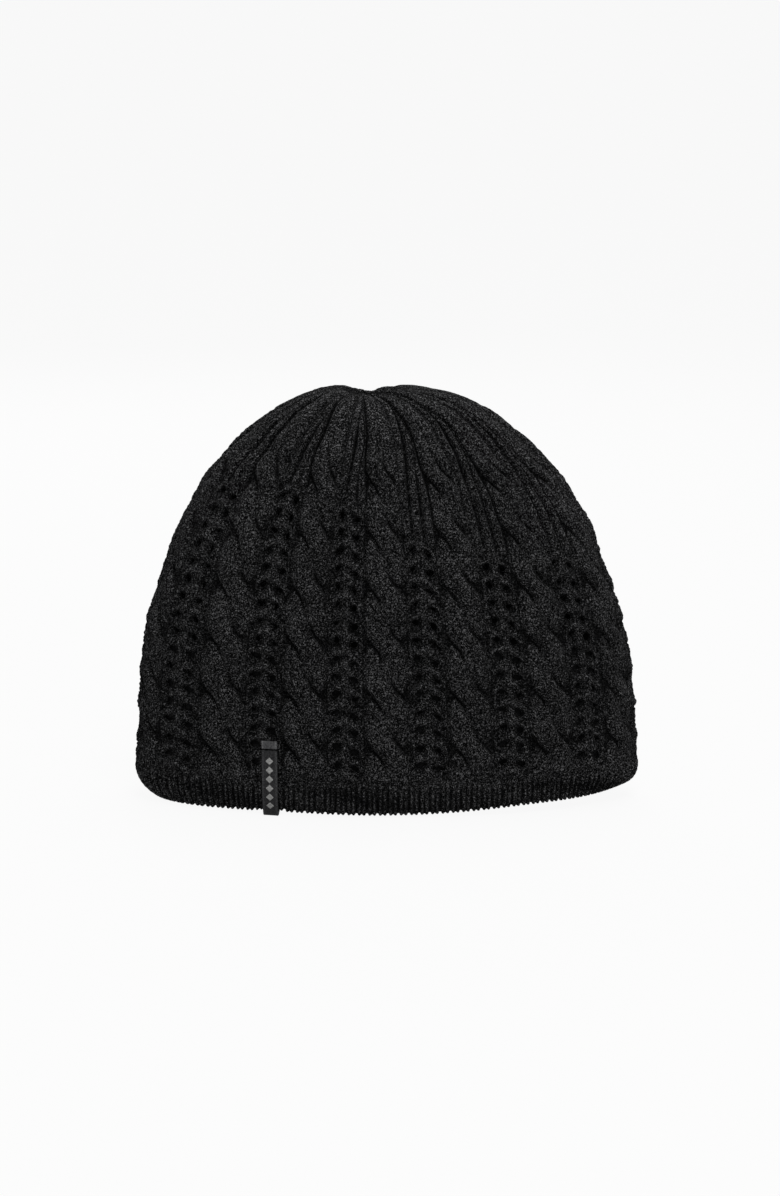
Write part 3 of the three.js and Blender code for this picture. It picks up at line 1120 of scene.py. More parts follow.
    def lace_height(self, inside: Array, course: Array) -> Array:
        """Arched ridges over the eyelets, one every four courses, and a low spine between them.

        An arch is a roof: its course is 15.3 - 0.62 |w - 4| - 0.25 (w - 4) at wale w of the panel.

        Args:
            inside: wale within the repeat.
            course: count of courses.

        Returns:
            The height in metres.
        """
        arch = 15.3 - 0.62 * np.abs(inside - 4.0) - 0.25 * (inside - 4.0)
        part = np.mod((course - arch) / self.eyelet_period + 0.5, 1.0) - 0.5
        ridge = bump(0.0, 0.75, part * self.eyelet_period)
        edges = smoothstep(8.2, 6.6, inside) * smoothstep(-0.2, 1.2, inside)
        return (1.5 * ridge * edges + 0.45 * bump(4.0, 0.8, inside) - 0.35) * MM

    def crown_rib_height(self, inside: Array) -> Array:
        """Three two-wale ribs with a purl groove between each pair."""
        near = np.minimum(np.minimum(np.abs(inside - 1.0), np.abs(inside - 4.0)), np.abs(inside - 7.0))
        return 2.1 * MM * np.sqrt(np.clip(1.0 - (near / 1.25) ** 2, 0.0, 1.0))

    def hem_height(self, wale: Array, course: Array) -> tuple[Array, Array]:
        """Half-round ribs of two wales each with deep grooves between them.

        Args:
            wale: count of wales.
            course: count of courses.

        Returns:
            The lift in metres, and the wale count that the stitches follow.
        """
        count = (wale + 0.5) * self.hem_ribs / self.wales
        x = np.mod(count, 1.0) - 0.5
        rib = np.sqrt(np.clip(1.0 - (x / 0.40) ** 2, 0.0, 1.0))
        doubled = 1.0 - 0.85 * bump(0.0, 0.13, x)
        wave = 0.12 * np.cos(2 * math.pi * (course - 1.6 * np.abs(np.abs(x) - 0.17))) * rib
        return (-2.0 + 1.75 * rib * doubled + wave) * MM, count * self.rib_wales

    def unevenness(self, wale: Array, course: Array) -> Array:
        """Slow swells of hand-worn knit: a fixed sum of six waves round and up the hat."""
        chance = np.random.default_rng(self.seed)
        total = np.zeros(np.broadcast(wale, course).shape)
        for _ in range(6):
            round_count, up = chance.integers(2, 11), chance.uniform(0.03, 0.16)
            start, size = chance.uniform(0, 2 * math.pi), chance.uniform(0.10, 0.26) * MM
            phase = 2 * math.pi * (round_count * wale / self.around + up * course) + start
            total = total + size * np.sin(phase)
        return total


def ring_offsets(half: int) -> Array:
    """Row and column steps round a square, anticlockwise from its lower left corner and back to it.

    Args:
        half: half the square's side, in grid steps.

    Returns:
        (8 * half + 1) x 2 steps.
    """
    side = np.arange(-half, half)
    flat = np.full(2 * half, half)
    rows = np.concatenate([-flat, side, flat, -side, [-half]])
    columns = np.concatenate([side, flat, -side, -flat, [-half]])
    return np.stack([rows, columns], axis=-1)


def strip(fine: Array, coarse: Array) -> Array:
    """Triangles between one row of points and another with half as many steps.

    Args:
        fine: point numbers, 2n + 1 of them on the last axis.
        coarse: point numbers, n + 1 of them on the last axis.

    Returns:
        count x 3 point numbers.
    """
    a, b, c = fine[..., :-2:2], fine[..., 1:-1:2], fine[..., 2::2]
    p, q = coarse[..., :-1], coarse[..., 1:]
    made = [np.stack(corner, axis=-1).reshape(-1, 3) for corner in ((a, b, p), (b, c, q), (b, q, p))]
    return np.concatenate(made)


@dataclass(frozen=True)
class KnitShell:
    """The knitted wall from the hem's ribs to the gather, made in sectors that meet in the purl grooves."""

    form: Form
    pattern: KnitPattern
    sectors: int = 7
    outer_steps: int = 4
    inner_steps: int = 2
    last_course: float = 103.5
    reach: float = 1.75
    front_area: Area = (0.004, 0.005, 0.664, 0.995)
    back_area: Area = (0.996, 0.005, 0.676, 0.995)
    edge_areas: tuple[Area, ...] = (
        (0.664, 0.0005, 0.004, 0.0040),
        (0.6665, 0.995, 0.6690, 0.005),
        (0.004, 0.9960, 0.664, 0.9995),
        (0.6710, 0.005, 0.6735, 0.995),
    )

    def grid(self, first: float, last: float, steps: int) -> tuple[Array, Array]:
        """Wales and courses of a sector's grid.

        Args:
            first: first wale.
            last: last wale.
            steps: grid steps to a stitch.

        Returns:
            Two rows x columns arrays.
        """
        columns = int(round((last - first) * steps)) + 1
        rows = int(round((self.last_course - self.pattern.first_course) * steps)) + 1
        wale = np.linspace(first, last, columns)
        course = np.linspace(self.pattern.first_course, self.last_course, rows)
        return np.meshgrid(wale, course)

    def nearest(self, wale: Array, course: Array, eyelet: tuple, steps: int) -> tuple[int, int]:
        """Row and column of the grid point at an eyelet.

        Args:
            wale: the grid's wales.
            course: the grid's courses.
            eyelet: its wale, course and radius.
            steps: grid steps to a stitch.

        Returns:
            The row and the column.
        """
        return int(round((eyelet[1] - course[0, 0]) * steps)), int(round((eyelet[0] - wale[0, 0]) * steps))

    def opened(self, wale: Array, course: Array, eyelets: list, steps: int) -> tuple[Array, Array, Array]:
        """Spreads the grid round each eyelet, so that the square left out there becomes a round hole.

        Round an eyelet, a point's distance is measured to the square: the larger of the two sideways steps. The
        half-stitch square goes to the eyelet's radius, and the moves fade out at the reach.

        Args:
            wale: the grid's wales.
            course: the grid's courses.
            eyelets: wale, course and radius of each eyelet.
            steps: grid steps to a stitch.

        Returns:
            The moved wales and courses, and how near each point is to an eyelet's rim, from 0 to 1.
        """
        wide, tall, near = wale.copy(), course.copy(), np.zeros_like(wale)
        reach = int(self.reach * steps)
        chance = np.random.default_rng(self.pattern.seed + len(eyelets))
        for w, c, radius in eyelets:
            nudge_x, nudge_y, slant, stretch = chance.uniform(-1.0, 1.0, 4) * (0.17, 0.18, 0.40, 0.24)
            row, column = self.nearest(wale, course, (w, c, radius), steps)
            window = np.s_[max(row - reach, 0) : row + reach + 1, max(column - reach, 0) : column + reach + 1]
            dx, dy = wale[window] - w, course[window] - c
            square = np.maximum(np.abs(dx), np.abs(dy))
            round_size = radius + (square - 0.5) * (self.reach - radius) / (self.reach - 0.5)
            ease = smoothstep(0.5, self.reach, square)
            scale = (1 - ease) * round_size / (np.hypot(dx, dy) + 1e-9) + ease
            scale[square < 0.49] = 1.0
            loose = 1.0 - ease
            wide[window] = w + dx * scale * (1.0 - stretch * loose) + loose * (nudge_x + slant * dy)
            tall[window] = c + dy * scale * (1.0 + stretch * loose) + loose * nudge_y
            near[window] = np.maximum(near[window], bump(0.5, 0.5, square))
        return wide, tall, near

    def holes(self, eyelets: list, wale: Array, course: Array, steps: int) -> tuple[Array, Array]:
        """Which faces the eyelets leave out, and the point numbers round each.

        Args:
            eyelets: wale, course and radius of each eyelet.
            wale: the grid's wales.
            course: the grid's courses.
            steps: grid steps to a stitch.

        Returns:
            The faces to keep, and eyelets x points rings.
        """
        rows, columns = wale.shape
        keep = np.ones((rows - 1, columns - 1), bool)
        half = steps // 2
        offsets = ring_offsets(half)
        rings = []
        for eyelet in eyelets:
            row, column = self.nearest(wale, course, eyelet, steps)
            keep[row - half : row + half, column - half : column + half] = False
            rings.append((row + offsets[:, 0]) * columns + column + offsets[:, 1])
        return keep, np.array(rings, int).reshape(-1, len(offsets))

    def outer_points(self, wale: Array, course: Array, eyelets: list) -> tuple[Array, Array, Array]:
        """The outer face.

        Args:
            wale: the grid's wales.
            course: the grid's courses.
            eyelets: wale, course and radius of each eyelet.

        Returns:
            The points, the stitch counts for the pattern, and the shade painted into the colour at each point.
        """
        wide, tall, near = self.opened(wale, course, eyelets, self.outer_steps)
        fineness = 0.25 + 0.75 * smoothstep(104.0, 84.0, course)
        lift, count = self.pattern.relief(wale, course, fineness)
        # Painted shade: darker in the grooves, and darker still round each eyelet's rim.
        tone = self.pattern.tone(wale, course, lift, fineness) * (1.0 - 0.6 * near)
        lift = lift - 0.95 * MM * near - 3.0 * MM * smoothstep(100.5, self.last_course, course)
        points = self.form.place(self.pattern.turn(wide, tall), tall, lift)
        return points, np.stack([count, course], axis=-1), tone

    def inner_points(self, wale: Array, course: Array, eyelets: list) -> tuple[Array, Array]:
        """The inner face, with the bars of the stitches' backs.

        Args:
            wale: the grid's wales.
            course: the grid's courses.
            eyelets: wale, course and radius of each eyelet.

        Returns:
            The points, and the stitch counts for the pattern.
        """
        wide, tall, _ = self.opened(wale, course, eyelets, self.inner_steps)
        bars = 0.12 * MM * np.cos(2 * math.pi * course) * smoothstep(102.0, 90.0, course)
        lift = -self.pattern.wall + bars + self.pattern.unevenness(wale, course) * 0.5
        lift = lift - 2.4 * MM * smoothstep(100.5, self.last_course, course)
        points = self.form.place(self.pattern.turn(wide, tall), tall, lift)
        return points, np.stack([wale, course + 0.5], axis=-1)

    def sector(self, index: int) -> Patch:
        """One closed sector of the wall.

        Args:
            index: its number, counted towards +X.

        Returns:
            The patch.
        """
        span = self.pattern.around / self.sectors
        first = index * span - 0.5
        eyelets = self.pattern.eyelets(first, first + span)
        wale, course = self.grid(first, first + span, self.outer_steps)
        back_wale, back_course = self.grid(first, first + span, self.inner_steps)
        keep, rings = self.holes(eyelets, wale, course, self.outer_steps)
        back_keep, back_rings = self.holes(eyelets, back_wale, back_course, self.inner_steps)
        outer, outer_count, tone = self.outer_points(wale, course, eyelets)
        inner, inner_count = self.inner_points(back_wale, back_course, eyelets)
        front = Patch.grid(outer, self.front_area, outer_count, keep, tone)
        back = Patch.grid(inner, self.back_area, inner_count, back_keep, inside_out=True)
        return join([front, back, self.walls(outer, inner, rings, back_rings, outer_count)])

    def walls(self, outer: Array, inner: Array, rings: Array, back_rings: Array, count: Array) -> Patch:
        """The thickness of the knit round the sector's edge and through every eyelet.

        Args:
            outer: outer points.
            inner: inner points.
            rings: outer point numbers round each eyelet.
            back_rings: inner point numbers round each eyelet.
            count: outer stitch counts.

        Returns:
            A patch of triangles with its own points.
        """
        rows, columns = outer.shape[:2]
        number = np.arange(rows * columns).reshape(rows, columns)
        back = np.arange(inner.shape[0] * inner.shape[1]).reshape(inner.shape[:2]) + number.size
        points = np.concatenate([outer.reshape(-1, 3), inner.reshape(-1, 3)])
        edges = [
            (number[0, ::-1], back[0, ::-1]),
            (number[::-1, -1], back[::-1, -1]),
            (number[-1], back[-1]),
            (number[:, 0], back[:, 0]),
        ]
        tris, bake = [], []

        def add(fine: Array, coarse: Array, fine_uv: Array, coarse_uv: Array) -> None:
            """Adds the strip between two rows of points, with a place in the bake map for each."""
            table = np.zeros((len(points), 2))
            table[fine], table[coarse] = fine_uv, coarse_uv
            tris.append(strip(fine, coarse))
            bake.append(table[tris[-1]].reshape(-1, 2))

        for (fine, coarse), (u0, v0, u1, v1) in zip(edges, self.edge_areas):
            shares = [np.linspace(0.0, 1.0, len(row)) for row in (fine, coarse)]
            if abs(v1 - v0) > abs(u1 - u0):
                add(fine, coarse, *(spread(u, v0 + (v1 - v0) * share) for u, share in zip((u0, u1), shares)))
            else:
                add(fine, coarse, *(spread(u0 + (u1 - u0) * share, v) for v, share in zip((v0, v1), shares)))
        if len(rings):
            row, column = np.divmod(rings, columns)
            u0, v0, u1, v1 = self.front_area
            uv = np.stack([u0 + (u1 - u0) * column / (columns - 1), v0 + (v1 - v0) * row / (rows - 1)], axis=-1)
            middle = uv[:, :-1].mean(axis=1, keepdims=True)
            add(rings, back_rings + number.size, uv, middle + (uv[:, ::2] - middle) * 0.5)
        faces = np.concatenate(tris)
        stitch = np.concatenate([count.reshape(-1, 2), np.zeros((back.size, 2))])[faces].reshape(-1, 2)
        return Patch(points, np.zeros((0, 4), int), faces, np.concatenate(bake), stitch, np.ones(len(points)))

    def build(self, material: Material) -> None:
        """Builds every sector.

        Args:
            material: the yarn.
        """
        for index in range(self.sectors):
            piece = make_object(f"knit_sector_{index + 1}", weld(self.sector(index)), [material])
            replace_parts(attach(piece, HAT_BODY), "knit_body", "knit_crown")



@dataclass(frozen=True)
class RibHem:
    """The ribbed hem: ribs down the outside, round the scalloped edge and up the inside."""

    form: Form
    pattern: KnitPattern
    columns_per_rib: int = 12
    outer_rows: int = 38
    turn_rows: int = 8
    inner_rows: int = 16
    start: float = 0.9
    scallop: float = 0.5 * MM
    tab_x: float = -55.5 * MM
    tab_width: float = 7.4 * MM
    tab_rise: float = 0.6

    def profile(self) -> tuple[Array, Array]:
        """Course and share of the wall's thickness along the hem's section.

        Returns:
            The two as columns, from the outside's top down round the edge to the inside's top.
        """
        top = self.pattern.first_course
        outer = np.linspace(top, self.start, self.outer_rows)
        turn = np.linspace(0.0, math.pi, self.turn_rows + 2)[1:-1]
        inner = np.linspace(self.start, top, self.inner_rows)
        course = np.concatenate([outer, self.start * (1.0 - np.sin(turn)), inner])
        depth = np.concatenate([np.zeros(len(outer)), 0.5 - 0.5 * np.cos(turn), np.ones(len(inner))])
        return course[:, None], depth[:, None]

    def build(self, material: Material) -> Object:
        """Builds the hem.

        Args:
            material: the yarn.

        Returns:
            The piece.
        """
        ribs = self.pattern.repeats * self.pattern.hem_ribs
        wale = np.linspace(-0.5, self.pattern.around - 0.5, ribs * self.columns_per_rib + 1)[None, :]
        course, depth = self.profile()
        outer, count = self.pattern.relief(wale, np.maximum(course, 0.3))
        ribs_passed = count / self.pattern.rib_wales
        wall = -self.pattern.wall + 0.25 * MM * np.cos(2 * math.pi * ribs_passed)
        lift = outer * (1 - depth) + wall * depth
        rib = np.mod(ribs_passed, 1.0) - 0.5
        round_rib = np.sqrt(np.clip(1 - (rib / 0.45) ** 2, 0, 1))
        turn = self.pattern.turn(wale, course)
        from_tab = np.abs(self.form.place(turn, course)[..., 0] - self.tab_x)
        at_front = np.abs(np.mod(turn + 0.5, 1.0) - 0.5) < 0.25
        raised = self.tab_rise * at_front * smoothstep(1.2 * self.tab_width, 0.6 * self.tab_width, from_tab)
        points = self.form.place(turn, course + raised * smoothstep(2.5, 0.3, course), lift)
        points[..., 2] += self.scallop * np.sin(math.pi * depth) * (1 - round_rib)
        stitch = spread(count * 0.8, course + 20.0 * depth)
        # Painted shade and highlight: the colour darkens in the grooves between the ribs and brightens on their
        # crowns, and the inside of the hem gets an even painted shade.
        painted_rib_shading = 0.2 + 1.2 * smoothstep(-1.75 * MM, -0.45 * MM, outer)
        to_body = smoothstep(6.5, 9.3, course)
        tone = painted_rib_shading * (1 - to_body) + self.pattern.tone(wale, course, outer) * to_body
        tone = tone * (1 - depth) + 0.7 * depth
        area = (0.003, 0.02, 0.997, 0.998)
        walls = Patch.grid(points[::-1], area, stitch[::-1], tone=tone[::-1], closed=True)
        shut = Patch.grid(points[[-1, 0]], (0.997, 0.003, 0.003, 0.015), closed=True, inside_out=True)
        piece = make_object("knit_rib_hem", weld(join([walls, shut])), [material])
        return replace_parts(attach(piece, HAT_BODY), "rib_hem")


# --------------------------------------------------------------------------------------------------
# Threads, band, tab and label


class Slot(Enum):
    """The record's material slots that threads and yarns use."""

    KNIT = "knit"
    THREAD = "thread"


class Side(Enum):
    """The four places of the band's tacks, as shares of the way round from the front."""

    BACK = 0.5
    LEFT = 0.75
    FRONT = 0.0
    RIGHT = 0.25


@dataclass(frozen=True)
class ThreadWork:
    """Sewn and knotted threads, each a tube along a path on the hat."""

    form: Form
    pattern: KnitPattern

    def piece(self, name: str, node: str, tubes: list[Patch], finish: Material, slot: Slot) -> Object:
        """Joins tubes into one piece, each in its own cell of the bake map, and puts it on the hat.

        Args:
            name: the piece's name.
            node: the CAD node it stands for.
            tubes: its tubes.
            finish: its material.
            slot: the record's material slot; not used.

        Returns:
            The piece.
        """
        across = math.ceil(math.sqrt(len(tubes)))
        down = math.ceil(len(tubes) / across)
        for number, tube in enumerate(tubes):
            corner = np.array([number % across, number // across], float)
            tube.bake_uv[:] = (corner + 0.02 + 0.96 * tube.bake_uv) / np.array([across, down])
        made = make_object(name, weld(join(tubes)), [finish])
        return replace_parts(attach(made, HAT_BODY), node)

    def seam(self, finish: Material) -> Object:
        """The centre back seam: a ladder of stitches in the outside groove and an overlocked ridge inside.

        Args:
            finish: the yarn.

        Returns:
            The piece.
        """
        first, last = 2.5, 102.0

        def sunk(steps: Array, depth: float) -> Array:
            """How far the seam dips under the gather, up to the given depth."""
            return depth * smoothstep(last - 4.0, last, steps)

        steps = np.arange(0.6, last, 0.125)
        sway = 0.9 * MM * np.sin(math.pi * steps) / WIDEST_ROUND
        dip = -2.6 * MM + 0.35 * MM * np.cos(2 * math.pi * steps) - sunk(steps, 2.5 * MM)
        ladder = self.form.place(0.5 + sway, steps, dip)
        steps = np.arange(first, last, 0.1)
        phase = 2 * math.pi * steps * 0.8
        sway = 1.5 * MM * np.sin(phase) / WIDEST_ROUND
        dip = -4.9 * MM - 0.55 * MM * np.cos(phase) - sunk(steps, 2.0 * MM)
        above_band = smoothstep(36.0, 38.5, steps)
        ridge = self.form.place(0.5 + sway, steps, dip * above_band - 4.15 * MM * (1 - above_band))
        steps = np.arange(first, last, 0.5)
        core = self.form.place(0.5, steps, -4.2 * MM - sunk(steps, 2.0 * MM))
        sections = ((ladder, 0.55, 8), (ridge, 0.34, 6), (core, 0.55, 8))
        tubes = [tube_patch(path, radius * MM, sides) for path, radius, sides in sections]
        return self.piece("back_seam_stitches", "back_seam", tubes, finish, Slot.KNIT)

    def gather(self, finish: Material) -> Object:
        """The drawn-up yarn: a ring through the top stitches with two small loops standing beside it.

        Args:
            finish: the yarn.

        Returns:
            The piece.
        """
        turn = np.linspace(0.0, 1.0, 161)[:-1]
        pucker = 0.36 * MM * np.cos(2 * math.pi * self.pattern.repeats * turn)
        ring = self.form.place(turn, 103.0, -2.0 * MM + pucker)
        tubes = [tube_patch(ring, 0.62 * MM, 8, closed=True)]
        for start, reach, tall in ((0.02, 0.24, 2.6), (0.10, 0.2, 1.8)):
            share = np.linspace(0.0, 1.0, 40)
            height = (-2.4 + tall * np.sin(math.pi * share)) * MM
            tubes.append(tube_patch(self.form.place(start + reach * share, 102.2, height), 0.48 * MM, 8))
        return self.piece("gather_yarn", "crown_gather_yarn", tubes, finish, Slot.KNIT)

    def knot(self, finish: Material) -> Object:
        """The knot inside the crown, with its two cut tails.

        The knot is a trefoil: (sin t + 2 sin 2t, cos t - 2 cos 2t, -1.3 sin 3t).

        Args:
            finish: the yarn.

        Returns:
            The piece.
        """
        low, high = node_box("crown_knot")
        middle, size = (low + high) / 2, high - low
        centre = np.array([middle[0], middle[1], high[2] - 3.2 * MM])
        t = np.linspace(0.0, 2 * math.pi, 140)[:-1]
        x, y = np.sin(t) + 2 * np.sin(2 * t), np.cos(t) - 2 * np.cos(2 * t)
        wrap = centre + np.stack([x, y, -np.sin(3 * t) * 1.3], -1) * 0.62 * MM
        tubes = [tube_patch(wrap, 0.62 * MM, 8, closed=True)]
        for side in (-1.0, 1.0):
            t = np.linspace(0.0, 1.0, 60)
            x, y = side * (0.4 + 1.3 * t**1.5) * MM, 0.9 * MM * np.sin(5 * t + side)
            tail = np.stack([x, y, -t * (size[2] - 5.0 * MM)], -1)
            tubes.append(tube_patch(centre + tail, 0.55 * MM * (1 - 0.25 * t**6), 8))
        return self.piece("crown_yarn_knot", "crown_knot", tubes, finish, Slot.KNIT)

    def band_overlock(self, finish: Material) -> Object:
        """Looped thread over the ear band's top edge.

        Args:
            finish: the thread.

        Returns:
            The piece.
        """
        course = self.form.course_at(80.6 * MM)
        loops = 220
        turn = np.linspace(0.0, 1.0, loops * 12 + 1)[:-1]
        phase = 2 * math.pi * loops * turn
        rise, lift = course - 0.15 + 0.75 * np.sin(phase), (-5.4 + 1.15 * np.cos(phase)) * MM
        path = self.form.place(turn + 0.0004 * np.sin(2 * phase), rise, lift)
        tube = tube_patch(path, 0.27 * MM, 5, closed=True)
        return self.piece("band_overlock", "ear_band_top_overlock", [tube], finish, Slot.THREAD)

    def band_hem_stitches(self, finish: Material) -> Object:
        """Chain stitches that hold the ear band's lower edge.

        Args:
            finish: the thread.

        Returns:
            The piece.
        """
        course = self.form.course_at(12.0 * MM)
        stitches = 170
        turn = np.linspace(0.0, 1.0, stitches * 10 + 1)[:-1]
        phase = 2 * math.pi * stitches * turn
        path = self.form.place(turn, course + 0.22 * np.sin(phase), (-7.0 + 0.22 * np.cos(phase)) * MM)
        tube = tube_patch(path, 0.24 * MM, 6, closed=True)
        return self.piece("band_hem_stitches", "ear_band_hem_stitching", [tube], finish, Slot.THREAD)

    def tack(self, side: Side, finish: Material) -> Object:
        """One close zigzag bar that holds the ear band's upper part to the knit.

        Args:
            side: where it is.
            finish: the thread.

        Returns:
            The piece.
        """
        node = f"ear_band_tack_{side.name.lower()}"
        low, high = node_box(node)
        length = max(high[0] - low[0], high[1] - low[1])
        course = self.form.course_at(float(low[2] + high[2]) / 2)
        t = np.linspace(0.0, 1.0, 260)
        zigzag = 2 / math.pi * np.arcsin(np.sin(2 * math.pi * 16 * t))
        turn = side.value + (t - 0.5) * length / WIDEST_ROUND
        tube = tube_patch(self.form.place(turn, course + 0.42 * zigzag, -6.95 * MM), 0.21 * MM, 6)
        return self.piece(f"band_tack_{side.name.lower()}", node, [tube], finish, Slot.THREAD)

    def tab_stitches(self, finish: Material, middle_x: float, level: float, height: float) -> Object:
        """The dark row sewn across the tab's turned top, running a little past both its edges.

        Args:
            finish: the thread.
            middle_x: X of the tab's middle.
            level: level of the row.
            height: lift of the tab's face.

        Returns:
            The piece.
        """
        low, high = node_box("brand_tab_front_stitching")
        course = self.form.course_at(level)
        half = 0.5 * float(high[0] - low[0]) + 0.2 * MM
        tubes = []
        stitches = 4
        for number in range(stitches):
            t = np.linspace(0.0, 1.0, 18)
            x = middle_x + half * (2 * (number + 0.02 + 0.96 * t) / stitches - 1)
            past = smoothstep(3.5 * MM, 4.6 * MM, np.abs(x - middle_x))
            lift = height + 0.22 * MM - 1.4 * MM * past - 0.2 * MM * (2 * t - 1) ** 6
            path = self.form.place(self.form.turn_for_x(x), course, lift)
            tubes.append(tube_patch(path, 0.34 * MM * (0.5 + 0.5 * np.sin(math.pi * t) ** 0.5), 8))
        return self.piece("tab_front_stitches", "brand_tab_front_stitching", tubes, finish, Slot.THREAD)

    def cross_stitches(self, name: str, node: str, finish: Material, upright: bool) -> Object:
        """A row of lock stitches inside a stitching node's box.

        Args:
            name: the piece's name.
            node: the CAD node.
            finish: the thread.
            upright: the row runs up rather than across.

        Returns:
            The piece.
        """
        low, high = node_box(node)
        middle = (low + high) / 2
        axis = 2 if upright else 0
        length = high[axis] - low[axis]
        count = max(3, int(round(length / (2.6 * MM))))
        tubes = []
        for number in range(count):
            t = np.linspace(0.0, 1.0, 14)
            path = np.repeat(middle[None, :], 14, 0)
            path[:, axis] = low[axis] + length * (number + 0.08 + 0.84 * t) / count
            outwards = 1.0 if middle[1] > 0 else -1.0
            inside = -outwards if "inside" in node or upright else outwards
            path[:, 1] = path[:, 1] + inside * (0.30 * np.sin(math.pi * t) - 0.12) * MM
            tubes.append(tube_patch(path, 0.24 * MM * (0.45 + 0.55 * np.sin(math.pi * t) ** 0.5), 8))
        return self.piece(name, node, tubes, finish, Slot.THREAD)


def value_noise(shape: tuple[int, int], cells: tuple[int, int], seed: int) -> Array:
    """Smooth noise over a grid that closes on itself sideways.

    Random values on a coarse lattice, joined by eased steps.

    Args:
        shape: rows and columns of the result.
        cells: rows and columns of the lattice.
        seed: the seed.

    Returns:
        Values between -1 and 1.
    """
    lattice = np.random.default_rng(seed).uniform(-1, 1, (cells[0] + 1, cells[1]))
    lattice = np.concatenate([lattice, lattice[:, :1]], axis=1)
    row = np.linspace(0, cells[0], shape[0])
    column = np.linspace(0, cells[1], shape[1])
    r, c = np.minimum(row.astype(int), cells[0] - 1), np.minimum(column.astype(int), cells[1] - 1)
    fr, fc = smoothstep(0, 1, row - r)[:, None], smoothstep(0, 1, column - c)[None, :]
    low = lattice[r][:, c] * (1 - fc) + lattice[r][:, c + 1] * fc
    high = lattice[r + 1][:, c] * (1 - fc) + lattice[r + 1][:, c + 1] * fc
    return low * (1 - fr) + high * fr


@dataclass(frozen=True)
class EarBand:
    """The brushed fleece band inside the knit, with the ridge where its ends are sewn together."""

    form: Form
    bottom: float = 10.0 * MM
    top: float = 80.0 * MM
    outside: float = -4.35 * MM
    inside: float = -6.5 * MM
    columns: int = 720
    rows: int = 96
    outer_rows: int = 24
    flat: tuple[float, float] = (512.0 * MM, 70.0 * MM)

    def build(self, finish: Material) -> Object:
        """Builds the band.

        Args:
            finish: the fleece.

        Returns:
            The piece.
        """
        turn = np.linspace(0.0, 1.0, self.columns + 1)[None, :]
        low, high = self.form.course_at(self.bottom), self.form.course_at(self.top)
        edge = np.linspace(0.0, math.pi, 6)[1:-1]
        half, middle = (self.outside - self.inside) / 2, (self.outside + self.inside) / 2
        inner, outer = np.linspace(low, high, self.rows), np.linspace(high, low, self.outer_rows)
        course = np.concatenate([inner, high + 0.4 * np.sin(edge), outer, low - 0.4 * np.sin(edge), inner[:1]])
        stretches = [
            np.full(self.rows, self.inside),
            middle - half * np.cos(edge),
            np.full(self.outer_rows, self.outside),
            middle + half * np.cos(edge),
            [self.inside],
        ]
        course, lift = course[:, None], np.concatenate(stretches)[:, None]
        pile = np.zeros((len(course), self.columns + 1))
        tufts = value_noise((self.rows, self.columns + 1), (60, 420), 3)
        tufts = tufts + 0.6 * value_noise((self.rows, self.columns + 1), (22, 150), 4)
        pile[: self.rows] = -0.28 * MM * tufts
        pile[[0, self.rows - 1, -1]] = 0.0
        points = self.form.place(turn, course, lift + pile)
        band = Patch.grid(points, (0.003, 0.003, 0.997, 0.997), closed=True, inside_out=True)
        piece = make_object("fleece_band", weld(band), [finish])
        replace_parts(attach(piece, HAT_BODY), "ear_band")
        return piece

    def seam(self, finish: Material) -> Object:
        """The rounded ridge down the centre back where the band's ends meet.

        Args:
            finish: the fleece.

        Returns:
            The piece.
        """
        low, high = node_box("ear_band_seam")
        t = np.linspace(0.0, 1.0, 90)
        level = low[2] + 0.6 * MM + t * (high[2] - low[2] - 1.2 * MM)
        course = np.array([self.form.course_at(float(z)) for z in level])
        path = self.form.place(0.5, course, -7.05 * MM + 0.1 * MM * np.sin(60 * t))
        section = 1.0 + 0.06 * np.sin(2 * math.pi * 34 * t)
        tube = tube_patch(path, 1.0 * MM * section * (1 - 0.5 * (2 * t - 1) ** 20), 14)
        tube.points[:, 0] *= 1.3
        piece = make_object("fleece_band_seam", weld(tube), [finish])
        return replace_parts(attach(piece, HAT_BODY), "ear_band_seam")


